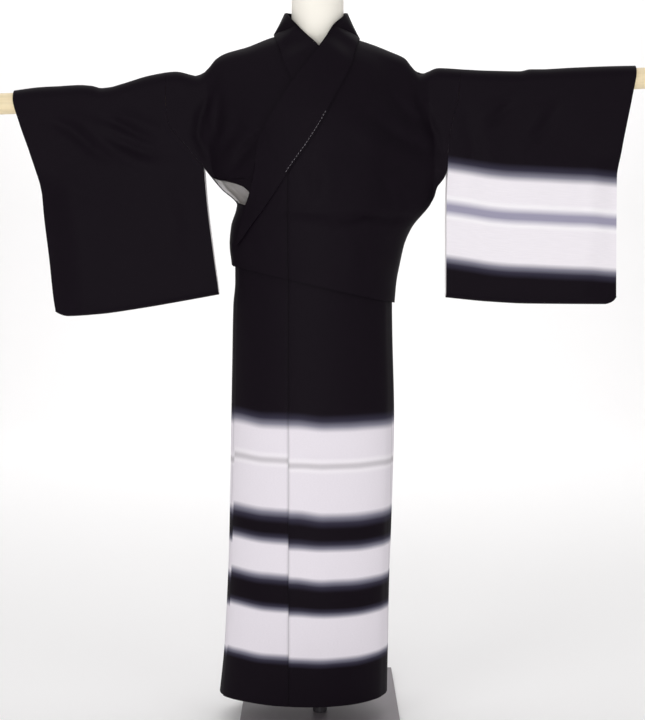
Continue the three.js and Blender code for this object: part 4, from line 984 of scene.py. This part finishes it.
def tube(name, radius, length, material, sides=72, bevel=1.5):
    profile = [(0, radius - bevel), (bevel, radius), (length - bevel, radius), (length, radius - bevel)]
    verts = [(r * math.cos(2 * math.pi * i / sides), r * math.sin(2 * math.pi * i / sides), h)
             for h, r in profile for i in range(sides)]
    return newObject(name, verts, ringFaces(len(profile), sides), [material])


def turned(obj, matrix):
    obj.data.transform(matrix)
    return obj


poleTurn = Matrix.Rotation(math.pi / 2 - math.atan(stand["poleSlope"]), 4, "Y")
poleMove = Matrix.Translation((0, 0, stand["poleZ"] * mm))
polePlace = poleMove @ poleTurn @ Matrix.Translation((0, 0, -stand["poleLength"] / 2 * mm))
pole = tube("pole_wood", stand["poleRadius"], stand["poleLength"], paleWood)
turned(pole, polePlace)
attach(pole, "root")
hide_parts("pole")

formRings = table("z halfWidth front back", [
    (800, 128, 78, 84), (812, 139, 88, 94), (880, 142, 92, 98), (1000, 128, 84, 84), (1100, 138, 92, 86),
    (1200, 156, 94, 86), (1290, 170, 80, 76), (1333, 173, 62, 60), (1355, 163, 48, 49), (1369, 138, 43, 45),
    (1380, 104, 43, 44), (1391, 74, 46, 45), (1410, 59, 52, 46), (1432, 54, 54, 46), (1494, 54, 54, 46),
    (1500, 50, 50, 42),
])
formRead = columns(formRings, "z")
formSides = 96
formStretches = [(800, 1330, 70), (1334, 1440, 50), (1446, 1493, 8), (1494, 1500, 5)]  # from, to, rings
formLevels = np.concatenate([np.linspace(*stretch) for stretch in formStretches])
formVerts = []
for z in formLevels:
    rise = float(ease(z, stand["neckBaseZ"], stand["neckStraightZ"]))
    for i in range(formSides):
        turn = 2 * math.pi * i / formSides
        depth = float(formRead["front" if math.cos(turn) > 0 else "back"](z))
        across = float(formRead["halfWidth"](z)) * math.sin(turn)
        formVerts.append((mix(torso["centreX"], stand["neckX"], rise) + across,
                          mix(0, stand["neckY"], rise) - depth * math.cos(turn), z))
form = newObject("dress_form_cover", formVerts, ringFaces(len(formLevels), formSides), [formCover])
columnTop = formRings["z"][0] + stand["socket"]
bore = turned(tube("bore", stand["poleRadius"] + stand["bore"], stand["poleLength"], formCover), polePlace)
socket = tube("socket", stand["columnRadius"] + stand["bore"], columnTop + stand["bore"], formCover)
for cutter in (bore, socket):
    cut = form.modifiers.new(cutter.name, "BOOLEAN")
    cut.operation, cut.solver, cut.object = "DIFFERENCE", "EXACT", cutter
evaluatedMesh(form)
for cutter in (bore, socket):
    bpy.data.objects.remove(cutter)
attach(form, "root")
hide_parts("dress_form")

columnBase = stand["plateThickness"] + cloth["seamGap"]
# The column is near black as painted shade, for the shadow under the hem
post = turned(tube("column_tube", stand["columnRadius"], columnTop - columnBase, columnShadePaint),
              Matrix.Translation((0, 0, columnBase * mm)))
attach(post, "root")
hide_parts("column")

w, d, t = stand["plateWidth"] / 2, stand["plateDepth"] / 2, stand["plateThickness"]
plateVerts = [(x, y, z) for z in (0, t) for x, y in ((-w, -d), (w, -d), (w, d), (-w, d))]
plateFaces = [(3, 2, 1, 0), (4, 5, 6, 7), (0, 1, 5, 4), (1, 2, 6, 5), (2, 3, 7, 6), (3, 0, 4, 7)]
plate = newObject("base_plate_paint", plateVerts, plateFaces, [greyPaint])
bevel = plate.modifiers.new("edges", "BEVEL")
bevel.width, bevel.segments = stand["plateEdge"] * mm, 3
evaluatedMesh(plate)
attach(plate, "root")
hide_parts("base_plate")
print("stand made")


# Studio

floorMaterial = newMaterial("studio_white", (0.93, 0.925, 0.925), 0.9)[0]
cove = {"front": -6.5, "back": 6.0, "halfWidth": 6.0, "radius": 1.2, "height": 6.0, "belowPlate": 0.5}
coveRadius = cove["radius"]
coveProfile = [(cove["front"], 0.0)]
coveProfile += [(cove["back"] - coveRadius + coveRadius * math.sin(a), coveRadius * (1 - math.cos(a)))
                for a in np.linspace(0, math.pi / 2, 24)]
coveProfile += [(cove["back"], cove["height"])]
coveVerts = [(x * cove["halfWidth"] / mm, y / mm, z / mm - cove["belowPlate"])
             for y, z in coveProfile for x in (-1, 1)]
coveFaces = [(2 * i, 2 * i + 1, 2 * i + 3, 2 * i + 2) for i in range(len(coveProfile) - 1)]
backdrop = newObject("backdrop", coveVerts, coveFaces, [floorMaterial])

world = bpy.data.worlds.new("studio")
bpy.context.scene.world = world
world.use_nodes = True
world.node_tree.nodes["Background"].inputs["Color"].default_value = (1.0, 0.985, 0.985, 1)
world.node_tree.nodes["Background"].inputs["Strength"].default_value = 0.49

lights = [
    # name, place, aim, width, height, watts
    ("key", (-2.3, -2.7, 3.1), (0, 0, 0.9), 1.6, 1.2, 20),
    ("front", (-0.2, -3.4, 0.8), (0, 0, 0.9), 1.2, 1.2, 37),
    ("fill", (2.7, -2.6, 2.0), (0, 0, 0.8), 1.8, 1.8, 9),
    ("back", (0.0, 3.6, 3.8), (0, 5.6, 1.0), 5.0, 1.0, 74),
    ("top", (0.0, 1.4, 4.2), (0, 1.6, 0), 5.0, 3.0, 62),
]
for name, spot, aim, width, height, watts in lights:
    data = bpy.data.lights.new(name, "AREA")
    data.shape, data.size, data.size_y, data.energy = "RECTANGLE", width, height, watts
    lamp = bpy.data.objects.new(name, data)
    bpy.context.scene.collection.objects.link(lamp)
    lamp.location = spot
    lamp.rotation_euler = (Vector(aim) - Vector(spot)).to_track_quat("-Z", "Y").to_euler()

view = {"distance": 2.9, "height": 0.977, "focal": 1394, "imageWidth": 645, "imageHeight": 720, "middleX": 320,
        "horizonY": 245}
cameraData = bpy.data.cameras.new("camera")
cameraData.lens = cameraData.sensor_width * view["focal"] / view["imageHeight"]
cameraData.shift_x = (view["imageWidth"] / 2 - view["middleX"]) / view["imageHeight"]
cameraData.shift_y = -(view["imageHeight"] / 2 - view["horizonY"]) / view["imageHeight"]
camera = bpy.data.objects.new("camera", cameraData)
camera.location = (0, -view["distance"], view["height"])
camera.rotation_euler = (math.pi / 2, 0, 0)
bpy.context.scene.collection.objects.link(camera)
bpy.context.scene.camera = camera
bpy.context.scene.view_settings.view_transform = "Standard"
print("studio ready")
